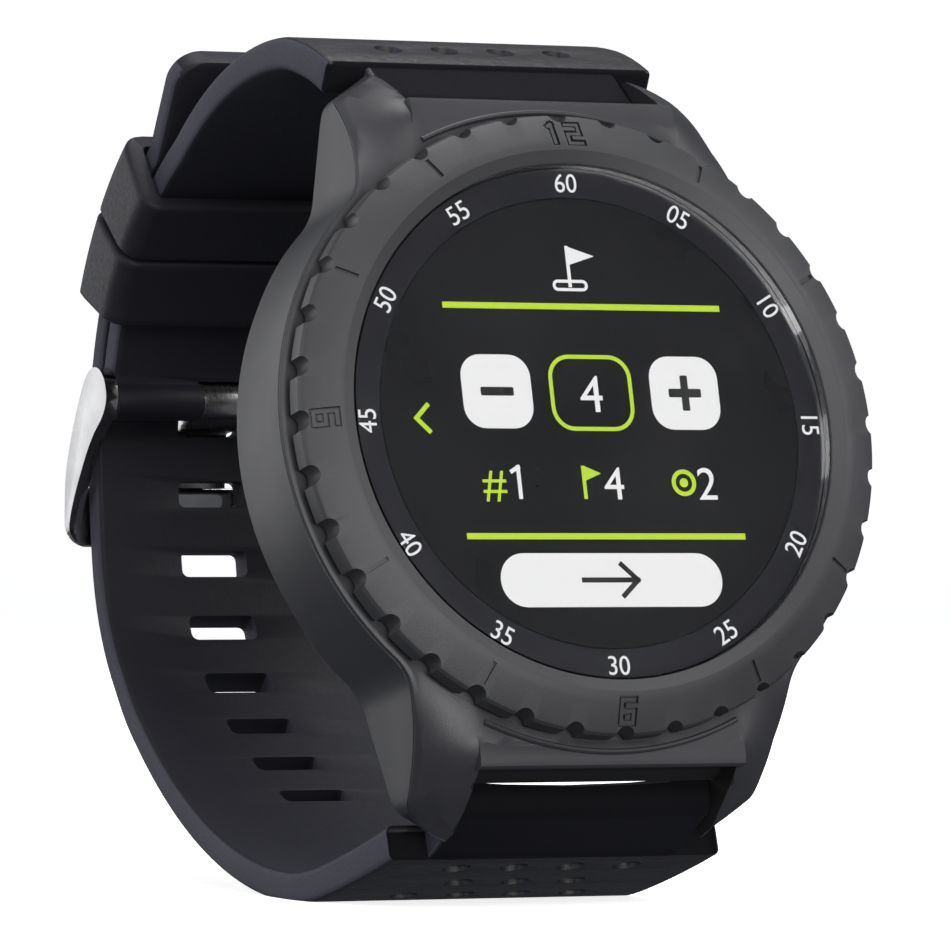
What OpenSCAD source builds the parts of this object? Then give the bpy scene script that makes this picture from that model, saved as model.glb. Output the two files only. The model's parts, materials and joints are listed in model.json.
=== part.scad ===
// Golf GPS watch, standing on its closed band, all lengths in millimetres.
// +X is 3 o'clock, +Z is up, and the dial faces -Y, leaning back by lean.

/* [Stance] */
// Angle that the dial leans back from upright, in degrees
lean = 14.3; // [14:0.1:14.6]

/* [Case] */
// Radius of the round case
case_r = 24.9; // [24.8:0.05:25.1]
// Depth of the case's back below the dial plane
case_back = 11.8; // [11.7:0.05:12]
// Gap between the lugs: the strap's nominal width
lug_gap = 22; // [21.9:0.05:22.1]
// Distance from the dial's centre to the lug tips, along 12 o'clock
lug_reach = 30.6; // [30.4:0.1:30.8]
// Distance from the dial's centre to the spring bars, along 12 o'clock
bar_reach = 27.4; // [27.3:0.05:27.45]
// Depth of the spring bars below the dial plane
bar_depth = 10.1; // [10:0.05:10.15]

/* [Dial] */
// Radius of the lit display
display_r = 17.7; // [17.4:0.1:17.75]
// Radius of the cover glass
glass_r = 20.15; // [20.1:0.01:20.18]
// Outer radius of the bezel
bezel_r = 24.46; // [24.3:0.02:24.6]
// Number of grip notches round the bezel
notch_count = 36; // [24:12:48]
// Radius of a grip notch
notch_r = 0.8; // [0.6:0.1:0.9]

/* [Band] */
// Width of the band at its shoulders, next to the lugs
shoulder_w = 28.4; // [28:0.1:28.6]
// Width of the band at the buckle
band_w = 20.8; // [20.4:0.1:20.8]
// Thickness of the band at the shoulders
shoulder_t = 2.8; // [2.6:0.1:2.9]
// Thickness of the buckle strap
upper_t = 2.4; // [2.2:0.1:2.4]
// Thickness of the slotted strap at the buckle
lower_t = 2.2; // [2:0.1:2.2]
// Width of an adjustment slot
slot_w = 6; // [5.6:0.1:6.2]
// Height of an adjustment slot
slot_h = 2.4; // [2.3:0.1:2.5]
// Distance between adjustment slots
slot_pitch = 6; // [5.8:0.1:6.2]
// Width of a keeper loop along the band, in degrees about the wrist centre
keeper_span = 14; // [12:0.1:14.1]

/* [Buckle] */
// Overall width of the buckle frame
buckle_w = 24.2; // [24:0.1:24.4]
// Width of the prong
prong_w = 5; // [4.8:0.1:5.2]

/* [Button] */
// Length of the pill-shaped button along the case edge
button_l = 9.6; // [9:0.1:10]
// Width of the button across the case edge
button_w = 4.4; // [4:0.1:4.6]
// How far the button stands out of the case
button_out = 1.1; // [0.8:0.1:1.3]

/* [Hidden] */

round_fn = 96;
small_fn = 48;

// Colours of the materials
case_grey = [0.24, 0.24, 0.26];
band_black = [0.12, 0.12, 0.15];
steel = [0.72, 0.71, 0.70];
screen_black = [0.02, 0.02, 0.03];
board_green = [0.05, 0.28, 0.16];
seal_black = [0.06, 0.06, 0.07];

// The wrist centre: the band's back stretch is one arc about this point, in the YZ plane
// through the dial's centre
wrist = [42.2, -1.8];
// Gap between the two straps where they lie on each other
strap_gap = 0.3;
// Centre-line radii of the two straps round the wrist centre
upper_r = 27.1;
lower_r = upper_r + upper_t / 2 + strap_gap + lower_t / 2;

// Each stretch is [centre-line radius, start angle, end angle], tangent to the one before it
upper_chain = [[upper_r, 8, 60], [54, 60, 90], [23.5, 90, 115]];
lower_chain = [
    [lower_r, 54, -2], [72, -2, -9], [20, -9, -56], [67.3, -56, -90], [26, -90, -103.5],
    [150, -103.5, -108.4]
];
tail_chain = [[lower_r, -2, 54]];
// The free tail leaves the arc and runs on straight by this length, at this heading
tail_start = 54;
tail_len = 8.9;
tail_heading = 119;
tip_r = 2.4;
// Height of the flat that the band stands on, cut from its lowest arc
foot = 0.3;

// Dial stack, as heights above the dial plane
glass_top = 0.3;
glass_low = -0.7;
// Air gap between the glass and the display and ring under it
under_glass = 0.12;
bezel_low = -2.9;
land_z = -2.9;
cavity_r = 20.4;
back_t = 0.7;
back_z = -case_back - back_t;

// Spring bars
bar_r = 0.9;
pin_r = 0.6;
pin_hole_r = 0.66;
pin_in = 5;
pin_out = lug_gap / 2 + 1.2;
// Roll of the strap round a spring bar, and the shallow dip across the lower one's top
root_r = 1.9;
dip_r = 120;
dip_low = -27.95;
buckle_bar_r = 0.75;
buckle_axis_r = 25.9;
buckle_axis_angle = 8;
buckle_pin_r = 0.45;
buckle_pin_hole_r = 0.51;
buckle_in = 11;
buckle_pin_out = 11.6;
prong_slot_angle = 3.4;
prong_bore_r = 0.8;
barrel_r = 1.45;

// Button
pocket_floor = 22.6;
cap_floor = 23.4;
stem_r = 1;
stem_hole_r = 1.06;
seal_r = 1.7;
clip_x = 19.92;
button_z = -6.6;

// The dial's centre in the part's frame, which puts the bounding box's bottom centre at the origin
wall_low = chain_point(lower_chain, 3, -90, thickness(lower_chain, 3, 1, lower_t, shoulder_t) / 2)[1] + foot;
front_y = -glass_top * cos(lean) - 0.5 * cos(lean) - 21.3 * sin(lean);
back_y = 74.1;
dial = [-button_out / 2, -(front_y + back_y) / 2, -wall_low];

// ---- placing ----

// Dial frame: X at 3 o'clock, Y at 12 o'clock, Z out of the dial
module at_dial() {
    translate(dial) rotate([90 - lean, 0, 0]) children();
}

// Side view: 2D shapes drawn as (Y, Z) through the dial's centre, extruded along X
module side_view() {
    translate(dial) rotate([90, 0, 90]) children();
}

module slab(width) {
    side_view() translate([0, 0, -width / 2]) linear_extrude(width) children();
}

function unit(a) = [cos(a), sin(a)];

// Centre of stretch k of a chain of tangent arcs about the wrist centre
function chain_centre(chain, k) = k == 0 ? wrist
    : chain_centre(chain, k - 1) + (chain[k - 1][0] - chain[k][0]) * unit(chain[k][1]);

// Point of stretch k at angle a, offset outwards by off
function chain_point(chain, k, a, off) = chain_centre(chain, k) + (chain[k][0] + off) * unit(a);

// Thickness of a strap at part (0 to 1) of stretch k: it grows towards the case
function thickness(chain, k, part, t_first, t_last) =
    t_first + (t_last - t_first) * pow((k + part) / len(chain), 2);

// Points along a chain from stretch first on, on its outer (side 1) or inner (side -1) face
function chain_side(chain, first, side, t_first, t_last) = [
    for (k = [first:len(chain) - 1])
        let (n = max(3, ceil(abs(chain[k][2] - chain[k][1]) / 5)))
        for (i = [(k == first ? 0 : 1):n])
            let (a = chain[k][1] + (chain[k][2] - chain[k][1]) * i / n)
            let (t = thickness(chain, k, i / n, t_first, t_last))
            chain_point(chain, k, a, side * t / 2)
];

function reversed(points) = [for (i = [len(points) - 1:-1:0]) points[i]];

// Outline of a strap between its two faces
function strap_outline(chain, first, t_first, t_last) = concat(
    chain_side(chain, first, 1, t_first, t_last),
    reversed(chain_side(chain, first, -1, t_first, t_last))
);

// Spring bar axis in side view, sign +1 at 12 o'clock and -1 at 6 o'clock
function bar_point(sign) = [
    bar_depth * cos(lean) + sign * bar_reach * sin(lean),
    sign * bar_reach * cos(lean) - bar_depth * sin(lean)
];

buckle_point = wrist + buckle_axis_r * unit(buckle_axis_angle);

// ---- shared shapes ----

// Flat ring between two radii and two heights
module ring(r_in, r_out, z_low, z_high) {
    translate([0, 0, z_low]) difference() {
        cylinder(r = r_out, h = z_high - z_low, $fn = round_fn);
        translate([0, 0, -1]) cylinder(r = r_in, h = z_high - z_low + 2, $fn = round_fn);
    }
}

// Pill standing along X, with its long side along Y
module pill_x(length, width, x_low, x_high) {
    translate([x_low, 0, 0]) rotate([0, 90, 0]) union() {
        translate([0, -(length - width) / 2, 0])
            cylinder(d = width, h = x_high - x_low, $fn = small_fn);
        translate([0, (length - width) / 2, 0])
            cylinder(d = width, h = x_high - x_low, $fn = small_fn);
        translate([-width / 2, -(length - width) / 2, 0])
            cube([width, length - width, x_high - x_low]);
    }
}

// Helical wire about the Z axis, drawn as one closed swept tube
module coil(radius, wire_r, pitch, turns) {
    steps = turns * 16;
    sides = 6;
    points = [
        for (i = [0:steps])
            for (j = [0:sides - 1])
                let (a = i * 22.5, b = j * 360 / sides)
                [
                    (radius + wire_r * cos(b)) * cos(a),
                    (radius + wire_r * cos(b)) * sin(a),
                    pitch * i / 16 + wire_r * sin(b)
                ]
    ];
    walls = [
        for (i = [0:steps - 1])
            for (j = [0:sides - 1])
                let (p = i * sides + j, q = i * sides + (j + 1) % sides)
                [p, p + sides, q + sides, q]
    ];
    first_cap = [for (j = [0:sides - 1]) j];
    last_cap = [for (j = [sides - 1:-1:0]) steps * sides + j];
    polyhedron(points, concat(walls, [first_cap], [last_cap]), convexity = 8);
}

// ---- case ----

// Lug pairs in plan, widening towards the case, with their tips cut back at the outer side
module lug_plan() {
    polygon([
        [-16.6, -18], [-14.3, 1.7 - lug_reach], [-11, -lug_reach], [11, -lug_reach],
        [14.3, 1.7 - lug_reach], [16.6, -18], [16.6, 18], [14.3, lug_reach - 1.7],
        [11, lug_reach], [-11, lug_reach], [-14.3, lug_reach - 1.7], [-16.6, 18]
    ]);
}

// Case outline in plan: the round case flowing into the lugs
module case_plan() {
    offset(r = -5, $fn = 48) offset(delta = 5) union() {
        circle(r = case_r, $fn = 120);
        lug_plan();
    }
}

// Lug height profile, as (12 o'clock, height): flat over the case and falling to the tips
function lug_drop(s) = land_z - 7.6 * (1 - cos(75 * s)) / (1 - cos(75));
function lug_side() = concat(
    [for (i = [0:10]) [19.5 + (lug_reach - 19.5) * sin(7.5 * i) / sin(75), lug_drop(i / 10)]],
    [[lug_reach - 2.2, -case_back], [-lug_reach + 2.2, -case_back]],
    [for (i = [10:-1:0]) [-19.5 - (lug_reach - 19.5) * sin(7.5 * i) / sin(75), lug_drop(i / 10)]]
);

// Shelf between the lugs, with a recess above the lip that faces the strap's end
shelf_outline = [
    [20, -2.2], [25.6, -2.2], [26.4, -2.8], [26.3, -3.9], [24.9, -4.3], [26.5, -7.7], [23.5, -8.4],
    [23.3, -case_back], [20, -case_back]
];

module shelf(sign) {
    rotate([90, 0, 90]) translate([0, 0, -lug_gap / 2 - 0.4])
        linear_extrude(lug_gap + 0.8) polygon([for (p = shelf_outline) [sign * p[0], p[1]]]);
}

module strap_gap_cut(sign) {
    points = [
        [26.3, -3.9], [24.9, -4.3], [26.5, -7.7], [23.5, -8.4], [23.3, -13], [32, -13], [32, 1],
        [26.42, 1], [26.4, -2.8]
    ];
    rotate([90, 0, 90]) translate([0, 0, -lug_gap / 2])
        linear_extrude(lug_gap) polygon([for (p = points) [sign * p[0], p[1]]]);
}

module case_body() {
    color(case_grey) at_dial() difference() {
        union() {
            intersection() {
                translate([0, 0, -case_back]) linear_extrude(case_back) case_plan();
                rotate([90, 0, 90]) translate([0, 0, -30]) linear_extrude(60) polygon(lug_side());
            }
            intersection() {
                union() {
                    shelf(1);
                    shelf(-1);
                }
                ring(24.6, 40, -20, 5);
            }
        }
        strap_gap_cut(1);
        strap_gap_cut(-1);
        translate([0, 0, -20]) cylinder(r = cavity_r, h = 30, $fn = round_fn);
        ring(22.0, 22.9, land_z - 0.7, land_z + 0.01);
        ring(20.9, 21.6, -case_back - 0.01, -case_back + 0.6);
        for (sign = [-1, 1])
            translate([-lug_gap / 2 - 1.7, sign * bar_reach, -bar_depth]) rotate([0, 90, 0])
                cylinder(r = pin_hole_r, h = lug_gap + 3.4, $fn = small_fn);
        for (a = [45:90:315])
            rotate([0, 0, a]) translate([22.7, 0, -case_back - 1]) cylinder(r = 0.5, h = 4.2, $fn = small_fn);
        translate([0, 0, button_z]) pill_x(button_l + 0.5, button_w + 0.5, pocket_floor, 30);
        translate([15, 0, button_z]) rotate([0, 90, 0]) cylinder(r = stem_hole_r, h = 10, $fn = small_fn);
        translate([19, 0, button_z]) rotate([0, 90, 0]) cylinder(r = seal_r, h = 2.6, $fn = small_fn);
    }
}

module bezel_ring() {
    profile = [
        [20.28, bezel_low], [20.28, glass_top], [21.3, 0.8], [24.1, -0.35], [bezel_r, -0.75],
        [bezel_r, -2.3], [23.6, -2.5], [23.6, bezel_low]
    ];
    color(case_grey) at_dial() difference() {
        rotate_extrude($fn = round_fn) polygon(profile);
        for (i = [0:notch_count - 1])
            rotate([0, 0, i * 360 / notch_count]) translate([bezel_r + 0.1, 0, -5])
                cylinder(r = notch_r, h = 10, $fn = 24);
        for (i = [1, 2, 4, 5, 7, 8, 10, 11])
            rotate([0, 0, i * 30]) translate([21.9, -0.17, -0.1]) cube([1.9, 0.34, 2]);
    }
}

module bezel_gasket() {
    color(seal_black) at_dial() ring(22.1, 22.8, land_z - 0.65, land_z - 0.01);
}

module cover_glass() {
    color([0.6, 0.65, 0.7, 0.3]) at_dial() translate([0, 0, glass_low])
        cylinder(r = glass_r, h = glass_top - glass_low, $fn = round_fn);
}

module minute_ring() {
    color(screen_black) at_dial() ring(display_r + 0.1, 20.1, glass_low - 0.42, glass_low - under_glass);
}

module display_panel() {
    color(screen_black) at_dial() translate([0, 0, -2.3])
        cylinder(r = display_r, h = 2.3 + glass_low - under_glass, $fn = round_fn);
}

// Plastic carrier: a wall round the display over a floor with a slot for its ribbon
module display_frame() {
    color([0.15, 0.15, 0.17]) at_dial() difference() {
        union() {
            ring(display_r + 0.15, 20.15, -3.9, glass_low - 0.44);
            translate([0, 0, -3.9]) cylinder(r = 18.5, h = 0.8, $fn = round_fn);
        }
        translate([-5, -17, -5]) cube([10, 2.2, 3]);
        for (a = [90, 210, 330])
            rotate([0, 0, a]) translate([18.9, 0, -5]) cylinder(r = 0.5, h = 2.6, $fn = small_fn);
    }
}

// Ribbon from the display down to the board
module display_flex() {
    color([0.75, 0.45, 0.15]) at_dial() union() {
        translate([-4, -16.5, -2.6]) cube([8, 6, 0.15]);
        translate([-4, -16.5, -4.36]) cube([8, 0.15, 1.9]);
    }
}

module main_board() {
    color(board_green) at_dial() difference() {
        translate([0, 0, -5.2]) cylinder(r = 20, h = 0.8, $fn = round_fn);
        for (a = [90, 210, 330])
            rotate([0, 0, a]) translate([18.9, 0, -6]) cylinder(r = 0.6, h = 3, $fn = small_fn);
        translate([18.3, -3, -6]) cube([3, 6, 3]);
    }
}

module shield_cans() {
    color(steel) at_dial() union() {
        translate([-16, 3.5, -6.6]) cube([9, 8, 1.38]);
        translate([-15.2, -10, -6.6]) cube([4.2, 11, 1.38]);
    }
}

// Arc-shaped aerial carrier against the case wall at 12 o'clock
module gps_antenna() {
    color([0.55, 0.45, 0.25]) at_dial() rotate([0, 0, 40])
        rotate_extrude(angle = 100, $fn = round_fn) polygon([[19, -10.6], [20.2, -10.6], [20.2, -5.4], [19, -5.4]]);
}

module board_screws() {
    color(steel) at_dial() for (a = [90, 210, 330])
        rotate([0, 0, a]) translate([18.9, 0, 0]) union() {
            translate([0, 0, -5.35]) cylinder(r = 0.48, h = 2.4, $fn = small_fn);
            translate([0, 0, -5.36]) cylinder(r = 1, h = 0.14, $fn = small_fn);
        }
}

module battery() {
    color([0.7, 0.7, 0.74]) at_dial() translate([-6.5, -12, -10.7]) difference() {
        cube([14, 24, 4]);
        translate([-1, -1, 3]) cube([16, 2, 2]);
    }
}

module battery_pad() {
    color([0.9, 0.9, 0.92]) at_dial() translate([-5.5, -10, -6.6]) cube([12, 20, 1.35]);
}

module battery_lead() {
    color([0.6, 0.08, 0.06]) at_dial() for (x = [0, 1.5])
        translate([x, 12.05, -8.4]) union() {
            rotate([-90, 0, 0]) cylinder(r = 0.35, h = 1.6, $fn = small_fn);
            translate([0, 1.6, 0]) sphere(r = 0.35, $fn = small_fn);
            translate([0, 1.6, 0]) cylinder(r = 0.35, h = 3.18, $fn = small_fn);
        }
}

module vibration_motor() {
    color(steel) at_dial() translate([11.6, -9.5, -7.9]) cylinder(r = 3.6, h = 2.68, $fn = small_fn);
}

module charge_board() {
    color(board_green) at_dial() translate([-7, -17.6, -10.98]) cube([14, 4.6, 0.6]);
}

// Four contact pins through the back cover
contact_pitch = 3;
contact_y = -15.4;
module contact_pins(radius, z_low, z_high) {
    for (i = [-1.5:1:1.5])
        translate([i * contact_pitch, contact_y, z_low])
            cylinder(r = radius, h = z_high - z_low, $fn = small_fn);
}

module charge_contacts() {
    color([0.83, 0.68, 0.35]) at_dial() contact_pins(0.8, back_z, -11);
}

module back_cover() {
    color(case_grey) at_dial() difference() {
        union() {
            translate([0, 0, back_z]) cylinder(r = 23.9, h = back_t - 0.02, $fn = round_fn);
            translate([0, 0, back_z]) cylinder(r = cavity_r - 0.1, h = back_t + 0.8, $fn = round_fn);
        }
        contact_pins(0.82, -20, 0);
        for (a = [45:90:315])
            rotate([0, 0, a]) translate([22.7, 0, -20]) cylinder(r = 0.6, h = 10, $fn = small_fn);
        for (a = [45:90:315])
            rotate([0, 0, a]) translate([22.7, 0, -20]) cylinder(r = 1, h = 20 + back_z + 0.4, $fn = small_fn);
    }
}

module back_gasket() {
    color(seal_black) at_dial() ring(20.95, 21.55, -case_back, -case_back + 0.55);
}

module back_screws() {
    color(steel) at_dial() for (a = [45:90:315])
        rotate([0, 0, a]) translate([22.7, 0, 0]) union() {
            translate([0, 0, back_z + 0.05]) cylinder(r = 0.95, h = 0.34, $fn = small_fn);
            translate([0, 0, back_z + 0.1]) cylinder(r = 0.48, h = 3.4, $fn = small_fn);
        }
}

// ---- button ----

module button_cap() {
    top = case_r + button_out;
    color(case_grey) at_dial() translate([0, 0, button_z]) difference() {
        union() {
            pill_x(button_l, button_w, cap_floor, top - 0.4);
            pill_x(button_l - 0.8, button_w - 0.8, top - 0.5, top);
            translate([17.6, 0, 0]) rotate([0, 90, 0]) cylinder(r = stem_r, h = 7, $fn = small_fn);
        }
        translate([cap_floor - 1, 0, 0]) rotate([0, 90, 0]) difference() {
            cylinder(r = 2.05, h = 2.3, $fn = small_fn);
            translate([0, 0, -1]) cylinder(r = stem_r, h = 5, $fn = small_fn);
        }
        translate([clip_x - 0.04, 0, 0]) rotate([0, 90, 0]) difference() {
            cylinder(r = 1.4, h = 0.4, $fn = small_fn);
            translate([0, 0, -1]) cylinder(r = 0.7, h = 3, $fn = small_fn);
        }
    }
}

// Sleeve seal that the stem slides through, inside the case wall
module button_seal() {
    color(seal_black) at_dial() translate([20.6, 0, button_z]) rotate([0, 90, 0]) difference() {
        cylinder(r = seal_r - 0.02, h = 0.95, $fn = small_fn);
        translate([0, 0, -1]) cylinder(r = stem_hole_r, h = 3, $fn = small_fn);
    }
}

// Clip in the stem's groove, which keeps the button in the case
module button_clip() {
    color(steel) at_dial() translate([clip_x, 0, button_z]) rotate([0, 90, 0]) difference() {
        cylinder(r = 2.2, h = 0.3, $fn = small_fn);
        translate([0, 0, -1]) cylinder(r = 0.72, h = 3, $fn = small_fn);
        translate([-0.5, 0, -1]) cube([1, 4, 3]);
    }
}

module button_spring() {
    color(steel) at_dial() translate([pocket_floor + 0.15, 0, button_z]) rotate([0, 90, 0])
        coil(1.55, 0.13, 0.42, 3);
}

// Tactile switch on the board's edge, facing the stem
module side_switch() {
    color([0.2, 0.2, 0.22]) at_dial() union() {
        translate([14.2, -2.1, -7.6]) cube([2.3, 4.2, 2.38]);
        translate([16, 0, button_z]) rotate([0, 90, 0]) cylinder(r = 0.6, h = 0.95, $fn = small_fn);
    }
}

// ---- spring bars ----

// A tube along X with a bore for its two pins
module bar_tube(point, radius, bore, half) {
    side_view() translate([point[0], point[1], -half]) difference() {
        cylinder(r = radius, h = 2 * half, $fn = small_fn);
        translate([0, 0, -1]) cylinder(r = bore, h = 2 * half + 2, $fn = small_fn);
    }
}

// One sliding pin end, side -1 at 9 o'clock and +1 at 3 o'clock
module bar_pin(point, radius, side, x_in, x_out) {
    low = side > 0 ? x_in : -x_out;
    side_view() translate([point[0], point[1], low]) cylinder(r = radius, h = x_out - x_in, $fn = small_fn);
}

module bar_spring(point, radius, half) {
    side_view() translate([point[0], point[1], -half]) coil(radius, 0.1, 2 * half / 7, 7);
}

module upper_bar_tube() {
    color(steel) bar_tube(bar_point(1), bar_r, pin_hole_r, 10.6);
}

module upper_bar_spring() {
    color(steel) bar_spring(bar_point(1), 0.45, 3.4);
}

module upper_pin_left() {
    color(steel) bar_pin(bar_point(1), pin_r, -1, pin_in, pin_out);
}

module upper_pin_right() {
    color(steel) bar_pin(bar_point(1), pin_r, 1, pin_in, pin_out);
}

module lower_bar_tube() {
    color(steel) bar_tube(bar_point(-1), bar_r, pin_hole_r, 10.6);
}

module lower_bar_spring() {
    color(steel) bar_spring(bar_point(-1), 0.45, 3.4);
}

module lower_pin_left() {
    color(steel) bar_pin(bar_point(-1), pin_r, -1, pin_in, pin_out);
}

module lower_pin_right() {
    color(steel) bar_pin(bar_point(-1), pin_r, 1, pin_in, pin_out);
}

// ---- band ----

// Plan limit of a strap: shoulder width near the case, tapering to the band width
module taper(sign) {
    y_low = dial[1] + (sign > 0 ? 18 : 2);
    translate([dial[0], 0, dial[2] - 60]) linear_extrude(120) polygon([
        [-shoulder_w / 2, y_low], [shoulder_w / 2, y_low], [shoulder_w / 2, dial[1] + 24],
        [band_w / 2, dial[1] + 55], [band_w / 2, dial[1] + 80],
        [-band_w / 2, dial[1] + 80], [-band_w / 2, dial[1] + 55], [-shoulder_w / 2, dial[1] + 24]
    ]);
}

// The strap's end between the lugs: a roll round the spring bar, blended to the shoulder
module strap_root(sign, chain) {
    last = len(chain) - 1;
    bar = bar_point(sign);
    root_out = chain_point(chain, last, chain[last][2], shoulder_t / 2 - 0.5);
    root_in = chain_point(chain, last, chain[last][2], -shoulder_t / 2);
    along = (root_out + root_in) / 2 - bar;
    across = [-along[1], along[0]] * sign / norm(along) * root_r;
    step = along / norm(along) * 0.4;
    slab(lug_gap - 0.4) union() {
        polygon([bar + across, root_out + step, root_in + step, bar - across]);
        translate(bar) circle(r = root_r, $fn = small_fn);
    }
}

module strap_upper() {
    color(band_black) difference() {
        union() {
            intersection() {
                slab(40) polygon(strap_outline(upper_chain, 0, upper_t, shoulder_t));
                taper(1);
            }
            strap_root(1, upper_chain);
            slab(band_w) translate(buckle_point) circle(r = 1.64, $fn = small_fn);
        }
        side_view() translate([bar_point(1)[0], bar_point(1)[1], -20])
            cylinder(r = bar_r + 0.02, h = 40, $fn = small_fn);
        side_view() translate([buckle_point[0], buckle_point[1], -20])
            cylinder(r = buckle_bar_r + 0.02, h = 40, $fn = small_fn);
        slab(prong_w + 0.2) translate(buckle_point - [0, 0.6]) square([8, 4.6], center = true);
    }
}

// Angle and stretch of each adjustment slot, one pitch apart along the lower strap
function slot_angle(i) = prong_slot_angle + i * slot_pitch / lower_r * 180 / PI;

module slot_cut(point, angle) {
    slab(slot_w) translate(point) rotate(angle) square([8, slot_h], center = true);
}

// Angle along a stretch that starts at angle a with radius r, after an arc length s
function along_arc(a, r, s) = a - s / r * 180 / PI;

// Arc lengths at which each stretch of the lower chain ends, counted from the prong's slot
len_1 = lower_r * (prong_slot_angle + 2) * PI / 180;
len_2 = len_1 + 72 * 7 * PI / 180;
len_3 = len_2 + 20 * 47 * PI / 180;

module slot_row() {
    for (i = [0:4])
        slot_cut(wrist + lower_r * unit(slot_angle(i)), slot_angle(i));
    for (s = [slot_pitch:slot_pitch:len_2])
        let (a = along_arc(-2, 72, s - len_1))
        slot_cut(chain_point(lower_chain, 1, a, 0), a);
    for (i = [2:4])
        let (a = along_arc(-9, 20, i * slot_pitch - len_2))
        slot_cut(chain_point(lower_chain, 2, a, 0), a);
    for (i = [5:7])
        let (a = along_arc(-56, 67.3, i * slot_pitch - len_3))
        slot_cut(chain_point(lower_chain, 3, a, 0), a);
}

// The free tail past the buckle: along the arc, then straight to an end with rounded corners
module tail() {
    start = wrist + lower_r * unit(tail_start);
    union() {
        slab(band_w) polygon(strap_outline(tail_chain, 0, lower_t, lower_t));
        side_view() translate([start[0], start[1], 0]) rotate([0, 0, tail_heading]) rotate([90, 0, 0])
            translate([0, 0, -lower_t / 2]) linear_extrude(lower_t) union() {
                translate([-0.6, -band_w / 2]) square([tail_len + 0.6 - tip_r, band_w]);
                hull() for (side = [-1, 1])
                    translate([tail_len - tip_r, side * (band_w / 2 - tip_r)]) circle(r = tip_r, $fn = small_fn);
            }
    }
}

module strap_lower() {
    color(band_black) difference() {
        union() {
            intersection() {
                slab(40) polygon(strap_outline(lower_chain, 1, lower_t, shoulder_t));
                taper(-1);
            }
            tail();
            strap_root(-1, lower_chain);
        }
        translate([-30, dial[1], -5]) cube([60, 80, 5]);
        translate([dial[0], dial[1] + 12, dial[2] + dip_low + dip_r]) rotate([90, 0, 0])
            cylinder(r = dip_r, h = 15, $fn = 240);
        side_view() translate([bar_point(-1)[0], bar_point(-1)[1], -20])
            cylinder(r = bar_r + 0.02, h = 40, $fn = small_fn);
        slot_row();
    }
}

// Keeper loop round both straps, from angle start about the wrist centre
module keeper(start) {
    inner_r = upper_r - upper_t / 2 - 0.3;
    outer_r = lower_r + lower_t / 2 + 0.3;
    half = band_w / 2 + 0.3;
    side_view() translate([wrist[0], wrist[1], 0]) rotate([0, 0, start])
        rotate_extrude(angle = keeper_span, $fn = round_fn) difference() {
            translate([inner_r - 1.2, -half - 1.5]) square([outer_r - inner_r + 2.5, 2 * half + 3]);
            translate([inner_r, -half]) square([outer_r - inner_r, 2 * half]);
        }
}

module keeper_fixed() {
    color(band_black) keeper(23.6);
}

module keeper_loose() {
    color(band_black) keeper(38.3);
}

// ---- buckle ----

// Side outline of an arm: wide and round at the bar, narrowing to the far bar
arm_outline = [
    [67.2, 4.6], [66.2, 4.2], [65.4, 3.3], [65.1, 1.9], [65.9, 0.5], [67.6, -0.9], [69, -2.4],
    [70.4, -4.3], [71.5, -6], [72.3, -7.5], [72.75, -9], [72.8, -10.2], [73.1, -10.5],
    [73.45, -10.1], [73.65, -8.6], [73.7, -6.8], [73.6, -5], [73.3, -3.4], [72.5, -1.3],
    [71.5, 0.6], [70.6, 2.2], [69.6, 3.7], [68.4, 4.5]
];
far_bar_outline = [
    [72.95, -5.7], [72.8, -9], [72.75, -10.2], [73.1, -10.5], [73.45, -10.1], [73.65, -8.8], [73.65, -5.7]
];

module arm(side) {
    low = side > 0 ? buckle_in : -buckle_w / 2;
    side_view() translate([0, 0, low]) linear_extrude(buckle_w / 2 - buckle_in) polygon(arm_outline);
}

module buckle_frame() {
    color(steel) difference() {
        union() {
            arm(1);
            arm(-1);
            slab(buckle_w) polygon(far_bar_outline);
        }
        side_view() translate([buckle_point[0], buckle_point[1], -buckle_w / 2 + 0.4])
            cylinder(r = buckle_pin_hole_r, h = buckle_w - 0.8, $fn = small_fn);
        slab(prong_w + 0.6) polygon([[73.24, -5.5], [73.24, -9.4], [76, -9.4], [76, -5.5]]);
    }
}

// Side outline of the prong's finger: out through the slot, down to the far bar
prong_outline = [
    [67.9, 0.4], [70, -0.5], [72.75, -0.8], [73.1, -1.05], [73.15, -1.7], [73.15, -4],
    [73.32, -5.3], [73.32, -9], [74, -9], [74.1, -7], [74, -4], [73.95, -1.2], [73.6, -0.3], [72.8, 0.35],
    [70.8, 0.5], [69.25, 1.3]
];

module buckle_prong() {
    color(steel) difference() {
        union() {
            slab(prong_w) polygon(prong_outline);
            slab(prong_w) translate(buckle_point) circle(r = barrel_r, $fn = small_fn);
        }
        side_view() translate([buckle_point[0], buckle_point[1], -20])
            cylinder(r = prong_bore_r, h = 40, $fn = small_fn);
    }
}

module buckle_bar_tube() {
    color(steel) bar_tube(buckle_point, buckle_bar_r, buckle_pin_hole_r, 10.4);
}

module buckle_bar_spring() {
    color(steel) bar_spring(buckle_point, 0.33, 3.4);
}

module buckle_pin_left() {
    color(steel) bar_pin(buckle_point, buckle_pin_r, -1, pin_in, buckle_pin_out);
}

module buckle_pin_right() {
    color(steel) bar_pin(buckle_point, buckle_pin_r, 1, pin_in, buckle_pin_out);
}

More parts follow.
